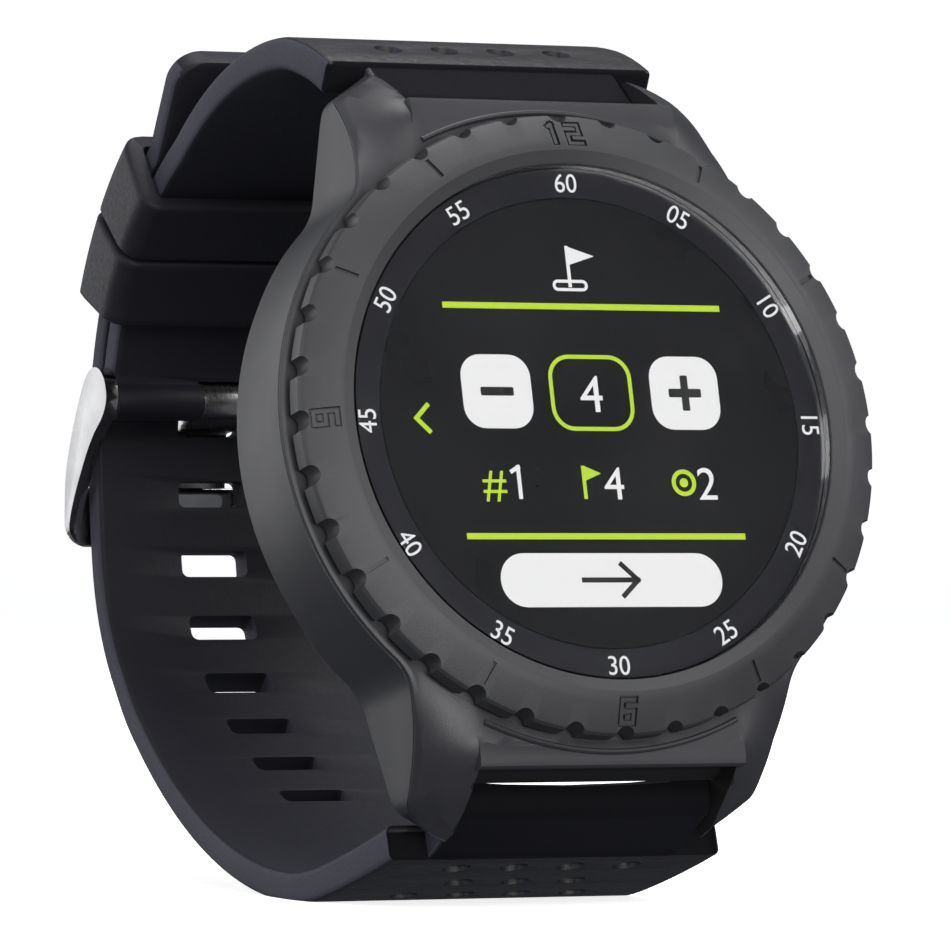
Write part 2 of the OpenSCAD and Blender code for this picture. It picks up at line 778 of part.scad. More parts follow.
case_body();
bezel_ring();
bezel_gasket();
cover_glass();
minute_ring();
display_panel();
display_frame();
display_flex();
main_board();
shield_cans();
gps_antenna();
board_screws();
battery();
battery_pad();
battery_lead();
vibration_motor();
charge_board();
charge_contacts();
back_cover();
back_gasket();
back_screws();
button_cap();
button_seal();
button_clip();
button_spring();
side_switch();
strap_upper();
strap_lower();
upper_bar_tube();
upper_bar_spring();
upper_pin_left();
upper_pin_right();
lower_bar_tube();
lower_bar_spring();
lower_pin_left();
lower_pin_right();
buckle_frame();
buckle_prong();
buckle_bar_tube();
buckle_bar_spring();
buckle_pin_left();
buckle_pin_right();
keeper_fixed();
keeper_loose();
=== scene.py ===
"""Golf GPS watch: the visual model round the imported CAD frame.

Lengths below are millimetres. Each piece is drawn in one of two local frames: the dial frame
(X at 3 o'clock, Y at 12 o'clock, Z out of the dial) or the side frame (X and Y are the row's Y
and Z, Z is the row's X), both with their origin at the dial's centre.
"""

import json
import math

import bmesh
import bpy
from mathutils import Matrix, Vector


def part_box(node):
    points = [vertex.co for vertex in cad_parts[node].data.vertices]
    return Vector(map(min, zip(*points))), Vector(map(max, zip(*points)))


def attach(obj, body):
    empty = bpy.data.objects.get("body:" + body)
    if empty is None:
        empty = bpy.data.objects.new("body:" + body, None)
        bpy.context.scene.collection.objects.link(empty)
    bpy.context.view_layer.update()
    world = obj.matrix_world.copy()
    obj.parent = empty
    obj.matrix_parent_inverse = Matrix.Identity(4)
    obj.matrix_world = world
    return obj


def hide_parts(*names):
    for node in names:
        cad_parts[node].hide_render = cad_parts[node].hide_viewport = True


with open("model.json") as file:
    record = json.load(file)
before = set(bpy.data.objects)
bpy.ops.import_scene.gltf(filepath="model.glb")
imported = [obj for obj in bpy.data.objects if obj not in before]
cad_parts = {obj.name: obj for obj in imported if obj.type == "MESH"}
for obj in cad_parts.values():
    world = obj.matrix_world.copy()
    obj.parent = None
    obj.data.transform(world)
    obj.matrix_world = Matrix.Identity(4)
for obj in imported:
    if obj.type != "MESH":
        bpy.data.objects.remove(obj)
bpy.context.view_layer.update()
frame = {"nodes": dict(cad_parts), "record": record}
nodes = frame["nodes"]
MM = 0.001

# ---- the two local frames, from the CAD ----

wrist_mount = next(m for m in frame["record"]["mounts"] if m["name"] == "wrist_rest")
LEAN = math.asin(-wrist_mount["axis"][2])
GLASS_MID = -0.2
glass_low, glass_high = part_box("cover_glass")
dial_normal = Vector((0, -math.cos(LEAN), math.sin(LEAN)))
dial_centre = (glass_low + glass_high) / 2 - dial_normal * GLASS_MID * MM

TO_DIAL = (
    Matrix.Translation(dial_centre)
    @ Matrix.Rotation(math.pi / 2 - LEAN, 4, "X")
    @ Matrix.Scale(MM, 4)
)
TO_SIDE = (
    Matrix.Translation(dial_centre)
    @ Matrix(((0, 0, 1, 0), (1, 0, 0, 0), (0, 1, 0, 0), (0, 0, 0, 1)))
    @ Matrix.Scale(MM, 4)
)

# ---- sizes, as in the CAD ----

CASE_R = 24.9
CASE_BACK = 11.8
LAND_Z = -2.9
LAND_R = 23.3
CAVITY_R = 20.4
LUG_GAP = 22.0
LUG_REACH = 30.6
LUG_START = 18
BAR_REACH = 27.4
BAR_DEPTH = 10.1
BEZEL_R = 24.46
NOTCHES = 36
SHOULDER_W = 28.4
BAND_W = 20.8
SHOULDER_T = 2.8
UPPER_T = 2.4
LOWER_T = 2.2
SLOT_W = 6.0
SLOT_H = 2.2
SLOT_PITCH = 6.0
WRIST = (42.2, -1.8)
UPPER_R = 27.1
LOWER_R = UPPER_R + UPPER_T / 2 + 0.3 + LOWER_T / 2
UPPER_CHAIN = [(UPPER_R, 8, 60), (54, 60, 90), (23.5, 90, 115)]
LOWER_CHAIN = [
    (LOWER_R, 54, -2), (72, -2, -9), (20, -9, -56), (67.3, -56, -90), (26, -90, -103.5),
    (150, -103.5, -108.4),
]
TAIL_START = 54
TAIL_LEN = 8.9
TAIL_HEADING = 119
BUTTON_Z = -6.6
SCREEN_Z = -0.78
ROOT_R = 1.9
DIP_R = 120
DIP_LOW = -27.95
BUCKLE_BAR = (25.9, 8)
BUCKLE_HALF = 12.1
BUCKLE_INSIDE = 11.0
PRONG_W = 5.0
BAR_BORE = 0.92
BUCKLE_BORE = 0.77
STRAP_CORNER = 0.55
DIMPLE_R = 1.15
DIMPLE_DEPTH = 0.75
NOTCH_R = 0.8


# ---- materials ----


def node(tree, kind, **values):
    """A new shader node with the given input values."""
    made = tree.nodes.new(kind)
    for name, value in values.items():
        made.inputs[name.replace("_", " ")].default_value = value
    return made


def new_material(name, base, rough, metallic=0.0):
    """A Principled material, returned with its tree and shader node."""
    material = bpy.data.materials.new(name)
    material.use_nodes = True
    tree = material.node_tree
    shader = tree.nodes["Principled BSDF"]
    shader.inputs["Base Color"].default_value = (*base, 1)
    shader.inputs["Roughness"].default_value = rough
    shader.inputs["Metallic"].default_value = metallic
    return material, tree, shader


def object_coordinates(tree, stretch=(1, 1, 1)):
    """Object coordinates in metres, stretched along each axis."""
    coordinates = tree.nodes.new("ShaderNodeTexCoord")
    mapping = tree.nodes.new("ShaderNodeMapping")
    mapping.inputs["Scale"].default_value = stretch
    tree.links.new(coordinates.outputs["Object"], mapping.inputs["Vector"])
    return mapping.outputs["Vector"]


def noise(tree, vector, scale, detail=4.0, rough=0.55):
    made = node(tree, "ShaderNodeTexNoise", Scale=scale, Detail=detail, Roughness=rough)
    tree.links.new(vector, made.inputs["Vector"])
    return made.outputs["Fac"]


def ramp(tree, source, low, high):
    """Maps the middle of a noise's range to a range of numbers."""
    made = tree.nodes.new("ShaderNodeMapRange")
    made.inputs["From Min"].default_value = 0.3
    made.inputs["From Max"].default_value = 0.7
    made.inputs["To Min"].default_value = low
    made.inputs["To Max"].default_value = high
    tree.links.new(source, made.inputs["Value"])
    return made.outputs["Result"]


def colour_mix(tree, source, dark, light):
    """A colour that runs from dark to light with a 0 to 1 value."""
    made = tree.nodes.new("ShaderNodeMix")
    made.data_type = "RGBA"
    made.inputs["A"].default_value = (*dark, 1)
    made.inputs["B"].default_value = (*light, 1)
    tree.links.new(source, made.inputs["Factor"])
    return made.outputs["Result"]


def mottle(tree, shader, source, dark, light):
    """Lets the base colour run from dark to light."""
    colour = colour_mix(tree, ramp(tree, source, 0, 1), dark, light)
    tree.links.new(colour, shader.inputs["Base Color"])


def vary_roughness(tree, shader, source, low, high):
    tree.links.new(ramp(tree, source, low, high), shader.inputs["Roughness"])


def add_bump(tree, shader, height, depth_mm):
    made = node(tree, "ShaderNodeBump", Strength=1.0, Distance=depth_mm * MM)
    tree.links.new(height, made.inputs["Height"])
    tree.links.new(made.outputs["Normal"], shader.inputs["Normal"])


def moulded_plastic(name, base, rough, grain=9000.0, depth=0.012, spread=0.12):
    """Fine spark-eroded mould texture with faint handling marks in its gloss."""
    material, tree, shader = new_material(name, base, rough)
    vector = object_coordinates(tree)
    fine = noise(tree, vector, grain, 3)
    broad = noise(tree, vector, 90, 3)
    light = tuple(min(1, c * (1 + spread)) for c in base)
    dark = tuple(c * (1 - spread) for c in base)
    mottle(tree, shader, broad, dark, light)
    vary_roughness(tree, shader, broad, rough - 0.05, rough + 0.06)
    add_bump(tree, shader, fine, depth)
    shader.inputs["Specular IOR Level"].default_value = 0.5
    return material


def silicone(name, base, rough, grain=2600.0, depth=0.02, gloss=0.3):
    """Matte silicone rubber with a dusty sheen and a soft mould texture."""
    material, tree, shader = new_material(name, base, rough)
    vector = object_coordinates(tree)
    fine = noise(tree, vector, grain, 5, 0.6)
    broad = noise(tree, vector, 60, 4)
    light = tuple(min(1, c * 1.25) for c in base)
    mottle(tree, shader, broad, base, light)
    vary_roughness(tree, shader, fine, rough - 0.06, rough + 0.08)
    add_bump(tree, shader, fine, depth)
    shader.inputs["Specular IOR Level"].default_value = gloss
    shader.inputs["Sheen Weight"].default_value = 0.05
    shader.inputs["Sheen Roughness"].default_value = 0.5
    shader.inputs["Sheen Tint"].default_value = (0.75, 0.78, 1, 1)
    return material


def leather_silicone(name, base, rough):
    """Silicone moulded with a leather-like grain of small pebbles and creases."""
    material, tree, shader = new_material(name, base, rough)
    vector = object_coordinates(tree)
    cells = node(tree, "ShaderNodeTexVoronoi", Scale=1500.0, Randomness=1.0)
    cells.feature = "SMOOTH_F1"
    tree.links.new(vector, cells.inputs["Vector"])
    folds = noise(tree, object_coordinates(tree, (1, 2.6, 2.6)), 900, 6, 0.7)
    add = tree.nodes.new("ShaderNodeMath")
    add.operation = "ADD"
    tree.links.new(cells.outputs["Distance"], add.inputs[0])
    tree.links.new(folds, add.inputs[1])
    broad = noise(tree, vector, 120, 4)
    light = tuple(min(1, c * 1.3) for c in base)
    mottle(tree, shader, broad, base, light)
    vary_roughness(tree, shader, folds, rough - 0.08, rough + 0.08)
    add_bump(tree, shader, add.outputs["Value"], 0.08)
    return material


def metal(name, base, rough, streak=(1, 1, 1), grain=4000.0, depth=0.004, spread=0.08):
    """Steel with brushing lines or polish, set by how the grain is stretched."""
    material, tree, shader = new_material(name, base, rough, 1.0)
    vector = object_coordinates(tree, streak)
    lines = noise(tree, vector, grain, 4, 0.6)
    broad = noise(tree, object_coordinates(tree), 300, 3)
    vary_roughness(tree, shader, lines, rough - spread, rough + spread)
    mottle(tree, shader, broad, tuple(c * 0.82 for c in base), base)
    add_bump(tree, shader, lines, depth)
    return material


def lit(name, colour, strength):
    """A glowing part: faint pixel rows over an even glow, for the display's lit parts and, as a painted
    glow, the printed minute figures.
    """
    material, tree, shader = new_material(name, (0.01, 0.01, 0.01), 0.5)
    vector = object_coordinates(tree)
    glow = noise(tree, vector, 25000, 1)
    tree.links.new(
        colour_mix(tree, ramp(tree, glow, 0, 1), tuple(c * 0.94 for c in colour), colour),
        shader.inputs["Emission Color"],
    )
    shader.inputs["Emission Strength"].default_value = strength
    return material


def clear_glass():
    material, tree, shader = new_material("clear_glass", (1, 1, 1), 0.02)
    shader.inputs["Transmission Weight"].default_value = 1.0
    shader.inputs["IOR"].default_value = 1.45
    smudge = noise(tree, object_coordinates(tree), 60, 3)
    tree.links.new(ramp(tree, smudge, 0.0, 0.03), shader.inputs["Roughness"])
    return material


CASE = moulded_plastic("case_plastic", (0.03, 0.03, 0.035), 0.46)
BEZEL = moulded_plastic("bezel_plastic", (0.036, 0.036, 0.04), 0.5, 6500.0, 0.016)
BAND = silicone("band_silicone", (0.01, 0.0098, 0.0145), 0.55)
# Side edges: the rougher matt texture is their own finish; the lighter grey is partly painted light on
# the lit side faces
BAND_EDGE_MATT_AND_LIT = silicone("band_edge_matt_painted_light", (0.04, 0.04, 0.055), 0.7, 3800.0, 0.05)
# Painted shade: near-black silicone for the strap root between the lugs and the shoulder end walls,
# where shade falls
BAND_ROOT_PAINTED_SHADE = silicone("band_root_painted_shade", (0.0045, 0.0045, 0.006), 0.75, gloss=0.08)
# Painted shade: near-black plastic for the recesses behind the strap ends, standing in for the shade
# that falls there
RECESS_PAINTED_SHADE = moulded_plastic("case_recess_painted_shade", (0.004, 0.004, 0.005), 0.8)
BAND_GRAIN = leather_silicone("band_grained_silicone", (0.011, 0.0108, 0.0135), 0.5)
BAND_FINISHES_AND_PAINTED_LIGHT = [BAND, BAND_EDGE_MATT_AND_LIT, BAND_GRAIN, BAND_ROOT_PAINTED_SHADE]
POLISHED = metal("polished_steel", (0.74, 0.72, 0.7), 0.14, (1, 1, 1), 1500.0, 0.002, 0.04)
BRUSHED = metal("brushed_steel", (0.55, 0.55, 0.56), 0.34, (1, 14, 1), 1500.0, 0.006)
TURNED = metal("turned_steel", (0.72, 0.7, 0.67), 0.26, (40, 1, 1), 900.0, 0.004)
SPRING = metal("spring_wire", (0.5, 0.5, 0.52), 0.3)
SCREW = metal("screw_zinc", (0.55, 0.55, 0.58), 0.35, (1, 1, 1), 3000.0, 0.003)
TIN = metal("tinned_sheet", (0.72, 0.72, 0.7), 0.4, (1, 6, 1), 1200.0, 0.004)
GOLD = metal("gold_plate", (0.9, 0.66, 0.28), 0.22, (1, 1, 1), 2500.0, 0.002)
FOIL = metal("battery_foil", (0.6, 0.6, 0.63), 0.42, (1, 1, 1), 700.0, 0.02)
RING_BLACK = moulded_plastic("ring_black", (0.006, 0.006, 0.01), 0.35, 9000.0, 0.003)
PANEL_BLACK = moulded_plastic("panel_black", (0.0012, 0.0012, 0.0015), 0.3, 9000.0, 0.001)
INNER = moulded_plastic("inner_plastic", (0.03, 0.03, 0.033), 0.55)
SEAL = silicone("seal_rubber", (0.012, 0.012, 0.013), 0.6)
FLEX = moulded_plastic("flex_ribbon", (0.5, 0.24, 0.06), 0.35, 3000.0, 0.006)
BOARD = moulded_plastic("board_green", (0.012, 0.1, 0.045), 0.35, 1500.0, 0.01, 0.3)
AERIAL = moulded_plastic("aerial_plated", (0.4, 0.3, 0.14), 0.4, 2000.0, 0.01)
FOAM = moulded_plastic("foam_pad", (0.72, 0.72, 0.74), 0.85, 2500.0, 0.08)
WIRE = moulded_plastic("lead_red", (0.45, 0.02, 0.015), 0.4, 3000.0, 0.01)
# Painted glow: the printed white minute figures are given their own emission, though they are print and
# no lamp
FIGURE_PAINTED_GLOW = lit("figure_white_painted_glow", (0.93, 0.94, 0.95), 0.9)
LIT_WHITE = lit("lit_white", (0.93, 0.93, 0.93), 0.95)
LIT_GREEN = lit("lit_green", (0.52, 0.77, 0.018), 0.95)
DARK_SIGN = moulded_plastic("sign_black", (0.001, 0.001, 0.001), 0.5, 9000.0, 0.001)
GLASS = clear_glass()


# ---- mesh helpers ----


def finish_mesh(name, mesh, place, materials, sharp=32.0):
    """An object from a mesh drawn in millimetres, placed in the row frame."""
    mesh.transform(place)
    for material in materials:
        mesh.materials.append(material)
    mesh.shade_smooth()
    mesh.set_sharp_from_angle(angle=math.radians(sharp))
    made = bpy.data.objects.new(name, mesh)
    bpy.context.scene.collection.objects.link(made)
    return made


def mesh_of(points, faces):
    mesh = bpy.data.meshes.new("part")
    mesh.from_pydata([tuple(p) for p in points], [], faces)
    mesh.validate()
    mesh.update()
    return mesh


def outward(mesh):
    """Turns all faces of a closed mesh outwards and removes doubled points."""
    shape = bmesh.new()
    shape.from_mesh(mesh)
    bmesh.ops.remove_doubles(shape, verts=shape.verts, dist=1e-5)
    bmesh.ops.recalc_face_normals(shape, faces=shape.faces)
    shape.to_mesh(mesh)
    shape.free()
    return mesh


def loft(rings, closed_ends=True, closed_loop=False):
    """A skin through rings of equal length; the rings close on themselves if closed_loop."""
    count = len(rings[0])
    points = [p for r in rings for p in r]
    faces = []
    steps = len(rings) if closed_loop else len(rings) - 1
    for k in range(steps):
        a, b = k * count, ((k + 1) % len(rings)) * count
        for i in range(count):
            j = (i + 1) % count
            faces.append((a + i, a + j, b + j, b + i))
    if closed_ends and not closed_loop:
        faces.append(tuple(range(count))[::-1])
        last = (len(rings) - 1) * count
        faces.append(tuple(last + i for i in range(count)))
    return outward(mesh_of(points, faces))


def prism(outline, low, high):
    """A flat outline raised along Z from low to high."""
    return loft([[(x, y, low) for x, y in outline], [(x, y, high) for x, y in outline]])


def lathe(profile, steps=288):
    """A closed (radius, height) profile turned about Z."""
    rings = []
    for i in range(steps):
        a = 2 * math.pi * i / steps
        rings.append([(r * math.cos(a), r * math.sin(a), z) for r, z in profile])
    return loft(rings, closed_loop=True)


def arc(centre, radius, start, end, steps):
    """Points of an arc, in degrees, both ends included."""
    found = []
    for i in range(steps + 1):
        a = math.radians(start + (end - start) * i / steps)
        found.append((centre[0] + radius * math.cos(a), centre[1] + radius * math.sin(a)))
    return found


def rod(centre, radius, low, high, sides=24):
    """A round bar along Z."""
    return prism(arc(centre, radius, 0, 360 - 360 / sides, sides - 1), low, high)


def rounded_box(width, height, radius, steps=5):
    """Outline of a rectangle with rounded corners, about the origin."""
    x, y = width / 2 - radius, height / 2 - radius
    return (
        arc((x, y), radius, 0, 90, steps)
        + arc((-x, y), radius, 90, 180, steps)
        + arc((-x, -y), radius, 180, 270, steps)
        + arc((x, -y), radius, 270, 360, steps)
    )


def smooth_outline(points, per_side):
    """A closed Catmull-Rom curve through a few points."""
    found = []
    count = len(points)
    for i in range(count):
        p = [Vector(points[(i + k - 1) % count]) for k in range(4)]
        for s in range(per_side):
            t = s / per_side
            found.append(
                tuple(
                    0.5
                    * (
                        2 * p[1]
                        + (p[2] - p[0]) * t
                        + (2 * p[0] - 5 * p[1] + 4 * p[2] - p[3]) * t * t
                        + (3 * p[1] - p[0] - 3 * p[2] + p[3]) * t * t * t
                    )
                )
            )
    return found


def joined(meshes):
    """One mesh of several separate ones, each given as (mesh, matrix)."""
    shape = bmesh.new()
    for mesh, matrix in meshes:
        copy = mesh.copy()
        copy.transform(matrix)
        if matrix.determinant() < 0:
            copy.flip_normals()
        shape.from_mesh(copy)
        bpy.data.meshes.remove(copy)
    mesh = bpy.data.meshes.new("joined")
    shape.to_mesh(mesh)
    shape.free()
    return mesh


def applied(mesh, add_modifiers):
    """The mesh after modifiers, which add_modifiers puts on a scratch object."""
    scratch = bpy.data.objects.new("scratch", mesh)
    bpy.context.scene.collection.objects.link(scratch)
    helpers = add_modifiers(scratch) or []
    bpy.context.view_layer.update()
    graph = bpy.context.evaluated_depsgraph_get()
    result = bpy.data.meshes.new_from_object(scratch.evaluated_get(graph))
    for thing in [scratch, *helpers]:
        bpy.data.objects.remove(thing)
    return result


def boolean(mesh, other, operation="DIFFERENCE"):
    """The mesh cut by, or joined with, another."""

    def modifiers(scratch):
        cutter = bpy.data.objects.new("cutter", other)
        bpy.context.scene.collection.objects.link(cutter)
        cut = scratch.modifiers.new("cut", "BOOLEAN")
        cut.operation = operation
        cut.solver = "EXACT"
        cut.object = cutter
        return [cutter]

    return applied(mesh, modifiers)


def bevelled(mesh, width, angle=40.0, segments=2):
    """The mesh with its sharp edges rounded."""

    def modifiers(scratch):
        made = scratch.modifiers.new("round", "BEVEL")
        made.width = width
        made.segments = segments
        made.limit_method = "ANGLE"
        made.angle_limit = math.radians(angle)
        made.use_clamp_overlap = True
        made.miter_outer = "MITER_ARC"

    return applied(mesh, modifiers)


def place_piece(name, mesh, frame_matrix, materials, body, replaced=(), sharp=32.0):
    """Makes a piece, parents it to its body's empty, gives it its materials and hides the CAD parts it
    replaces.
    """
    made = finish_mesh(name, mesh, frame_matrix, materials, sharp)
    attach(made, body)
    if replaced:
        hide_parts(*replaced)
    return made


def paint(made, choose):
    """Gives each face the material index that choose(normal, centre) says, in the row frame."""
    for face in made.data.polygons:
        face.material_index = choose(face.normal, face.center)


# ---- camera, light and floor ----

CAMERA_TURN = -26.29


def make_camera():
    """A long lens, level with the watch, from the 9 o'clock side."""
    azimuth = math.radians(CAMERA_TURN)
    distance, right, up, roll = 610.2, 9.07, 4.19, 0.29
    data = bpy.data.cameras.new("camera")
    data.sensor_width = 36.0
    data.lens = 303.2
    camera = bpy.data.objects.new("camera", data)
    towards = Vector((-math.sin(azimuth), math.cos(azimuth), 0))
    side = Vector((math.cos(azimuth), math.sin(azimuth), 0))
    camera.location = dial_centre + (-towards * distance - side * right - Vector((0, 0, up))) * MM
    turn = towards.to_track_quat("-Z", "Y") @ Matrix.Rotation(math.radians(roll), 3, "Z").to_quaternion()
    camera.rotation_mode = "QUATERNION"
    camera.rotation_quaternion = turn
    data.clip_start = 0.05
    data.clip_end = 20
    bpy.context.scene.collection.objects.link(camera)
    bpy.context.scene.camera = camera


def area_light(name, position, size, power, colour=(1, 1, 1)):
    """A rectangular light aimed at the watch."""
    data = bpy.data.lights.new(name, "AREA")
    data.shape = "RECTANGLE"
    data.size, data.size_y = size
    data.energy = power
    data.color = colour
    light = bpy.data.objects.new(name, data)
    light.location = position
    aim = Vector((0, 0, 0.03)) - Vector(position)
    light.rotation_euler = aim.to_track_quat("-Z", "Y").to_euler()
    light.visible_camera = False
    bpy.context.scene.collection.objects.link(light)


def backdrop_points():
    """Side profile of the floor and the wall behind it, as (distance back, height) in metres."""
    points = [(-1.6, 0)]
    points += [(y, z) for y, z in arc((1.2, 0.6), 0.6, 270, 360, 12)]
    return points + [(1.8, 2.4)]


def make_studio():
    world = bpy.data.worlds.new("studio")
    bpy.context.scene.world = world
    world.use_nodes = True
    world.node_tree.nodes["Background"].inputs["Color"].default_value = (0.86, 0.9, 1, 1)
    world.node_tree.nodes["Background"].inputs["Strength"].default_value = 0.13
    area_light("left_light", (-0.8, 0.05, 0.3), (0.7, 0.6), 2.8, (0.97, 0.98, 1))
    area_light("front_light", (-0.2, -0.8, 0.45), (0.5, 0.3), 2.2)
    area_light("low_light", (-0.1, -0.85, 0.06), (0.7, 0.1), 4.2)
    area_light("right_light", (0.7, -0.4, 0.45), (0.3, 0.5), 2.4)
    area_light("back_card", (-0.4, 0.75, 0.12), (0.6, 0.6), 1.8)
    area_light("top_light", (0.1, 0.05, 0.8), (0.5, 0.5), 4.2)
    bpy.context.scene.view_settings.view_transform = "Standard"
    floor, tree, shader = new_material("studio_floor", (0.9, 0.9, 0.9), 0.8)
    speck = noise(tree, object_coordinates(tree), 40, 3)
    tree.links.new(
        colour_mix(tree, speck, (0.88, 0.88, 0.88), (0.92, 0.92, 0.92)), shader.inputs["Base Color"]
    )
    shader.inputs["Emission Color"].default_value = (1, 1, 1, 1)
    shader.inputs["Emission Strength"].default_value = 0.78
    turn = Matrix.Rotation(math.radians(CAMERA_TURN), 3, "Z")
    profile = backdrop_points()
    points = [turn @ Vector((x, y, z)) for x in (-2.5, 2.5) for y, z in profile]
    count = len(profile)
    faces = [(i, count + i, count + i + 1, i + 1) for i in range(count - 1)]
    ground = bpy.data.objects.new("floor", mesh_of(points, faces))
    ground.data.shade_smooth()
    ground.visible_diffuse = False
    ground.visible_glossy = False
    ground.data.materials.append(floor)
    bpy.context.scene.collection.objects.link(ground)


# ---- case ----


def case_outline():
    """The round case flowing into its lugs, seen from the dial's side."""
    root, tip = Vector((16.6, LUG_START)), Vector((14.3, LUG_REACH - 1.7))
    along = (tip - root).normalized()
    normal = Vector((along.y, -along.x))
    fillet = 5.0
    start = root + normal * fillet
    b, c = start.dot(along), start.length_squared - (CASE_R + fillet) ** 2
    centre = start + along * (-b + math.sqrt(b * b - c))
    meet = math.degrees(math.atan2(centre.y, centre.x))
    line_angle = math.degrees(math.atan2(-normal.y, -normal.x)) % 360
    corner_r = 1.6
    corner = tip - normal * corner_r - along * corner_r
    quarter = arc((0, 0), CASE_R, 0, meet, 26)
    quarter += arc(centre, fillet, meet + 180, line_angle, 10)[1:]
    side_start = centre - normal * fillet
    side_end = corner + normal * corner_r
    quarter += [tuple(side_start.lerp(side_end, i / 12)) for i in range(1, 13)]
    quarter += arc(corner, corner_r, math.degrees(math.atan2(normal.y, normal.x)), 62, 5)[1:]
    end = Vector(quarter[-1])
    inner_tip = Vector((10.6, LUG_REACH))
    quarter += [tuple(end.lerp(inner_tip, i / 4)) for i in range(1, 5)]
    quarter += [(10.6 * (1 - i / 6), LUG_REACH) for i in range(1, 7)]
    upper = quarter + [(-x, y) for x, y in quarter[-2::-1]]
    lower = [(x, -y) for x, y in upper[-2:0:-1]]
    return upper + lower


def back_height(y):
    """Height of the case's back: lower by the lugs, and raised at their tips to clear the band."""
    reach = abs(y)
    rise = min(1, max(0, (reach - 11) / 6)) * min(1, max(0, (29.5 - reach) / 3))
    return -CASE_BACK + 0.4 * max(0, reach - 28.8) - 0.7 * rise * rise * (3 - 2 * rise)


def lug_drop(y):
    """Height of the lugs' outer edge, which falls towards the tips."""
    part = max(0, abs(y) - LUG_START) / (LUG_REACH - 19.4)
    return max(LAND_Z - 8.1 * part**1.9, back_height(y) + 0.8)


def front_height(x, y):
    """Height of the case's front, raised towards the lugs' inner edges."""
    low = lug_drop(y)
    reach = abs(y)
    if reach <= LUG_START:
        return low
    inner = -2.72 if reach < 24.6 else -2.72 - 7.6 * ((reach - 24.6) / 6) ** 1.5
    across = min(1, max(0, (abs(x) - LUG_GAP / 2) / 4.6))
    across = across**1.4
    return low + max(0, inner - low) * (1 - across)


def inset(outline, distance):
    """A closed outline moved inwards by a small distance."""
    count = len(outline)
    found = []
    for i in range(count):
        before, after = Vector(outline[i - 1]), Vector(outline[(i + 1) % count])
        along = (after - before).normalized()
        found.append((outline[i][0] - along.y * distance, outline[i][1] + along.x * distance))
    return found


def case_mesh():
    outline = case_outline()
    inner = []
    land = []
    for x, y in outline:
        a = math.atan2(y, x)
        inner.append((CAVITY_R * math.cos(a), CAVITY_R * math.sin(a)))
        land.append((LAND_R * math.cos(a), LAND_R * math.sin(a)))

    def at(points, height):
        return [(x, y, height(x, y)) for x, y in points]

    crease = inset(outline, 0.28)
    crease_soft = inset(outline, 0.08)
    groove = inset(outline, 0.2)
    back_soft = inset(outline, 0.25)
    back_edge = inset(outline, 0.7)
    rings = [at(inner, lambda x, y: -CASE_BACK), at(inner, lambda x, y: LAND_Z)]
    for k in range(9):
        mixed = [
            (a[0] + (b[0] - a[0]) * k / 8, a[1] + (b[1] - a[1]) * k / 8)
            for a, b in zip(land, crease)
        ]
        rings.append(at(mixed, front_height))
    rings.append(at(crease_soft, lambda x, y: lug_drop(y) - 0.09))
    rings.append(at(outline, lambda x, y: lug_drop(y) - 0.25))
    rings.append(at(outline, lambda x, y: lug_drop(y) - 0.34))
    rings.append(at(groove, lambda x, y: lug_drop(y) - 0.44))
    rings.append(at(outline, lambda x, y: lug_drop(y) - 0.54))
    rings.append(at(outline, lambda x, y: min(back_height(y) + 0.75, lug_drop(y) - 0.56)))
    rings.append(at(back_soft, lambda x, y: back_height(y) + 0.18))
    rings.append(at(back_edge, lambda x, y: back_height(y)))
    return loft(rings, closed_loop=True)


def shelf_mesh(sign):
    """Sloped shelf between two lugs."""
    outline = [
        (21.5, -3.4), (24.6, -2.75), (25.7, -2.72), (26.2, -2.9), (26.35, -3.15), (26.3, -3.9),
        (24.9, -4.3), (26.5, -7.7), (23.5, -8.4), (23.3, -CASE_BACK + 0.2), (21.5, -CASE_BACK + 0.2),
    ]
    half = LUG_GAP / 2 + 0.3
    side = [[(x, sign * y, z) for y, z in outline] for x in (-half, half)]
    return loft(side)


def rib_mesh(sign):
    """The fine raised rib between the lugs, close under the bezel."""
    section = [
        (25.0, -3.6), (25.03, -2.55), (25.15, -2.4), (25.32, -2.4), (25.45, -2.55), (25.5, -3.6),
    ]
    rings = []
    for i in range(33):
        a = math.radians(90 * sign + (i / 16 - 1) * 25.2)
        rings.append([(r * math.cos(a), r * math.sin(a), z) for r, z in section])
    return loft(rings)


def strap_gap_mesh(sign):
    """What the strap's end needs clear between two lugs."""
    outline = [
        (26.3, -3.9), (24.9, -4.3), (26.5, -7.7), (23.5, -8.4), (23.3, -14), (33, -14), (33, 2),
        (26.36, 2), (26.35, -3.15),
    ]
    half = LUG_GAP / 2
    return loft([[(x, sign * y, z) for y, z in outline] for x in (-half, half)])


def pill_outline(length, width, steps=12):
    """A slot shape with its long side along Y."""
    reach = (length - width) / 2
    return arc((0, reach), width / 2, 0, 180, steps) + arc((0, -reach), width / 2, 180, 360, steps)


TO_EDGE = Matrix.Translation((0, 0, BUTTON_Z)) @ Matrix.Rotation(math.pi / 2, 4, "Y")


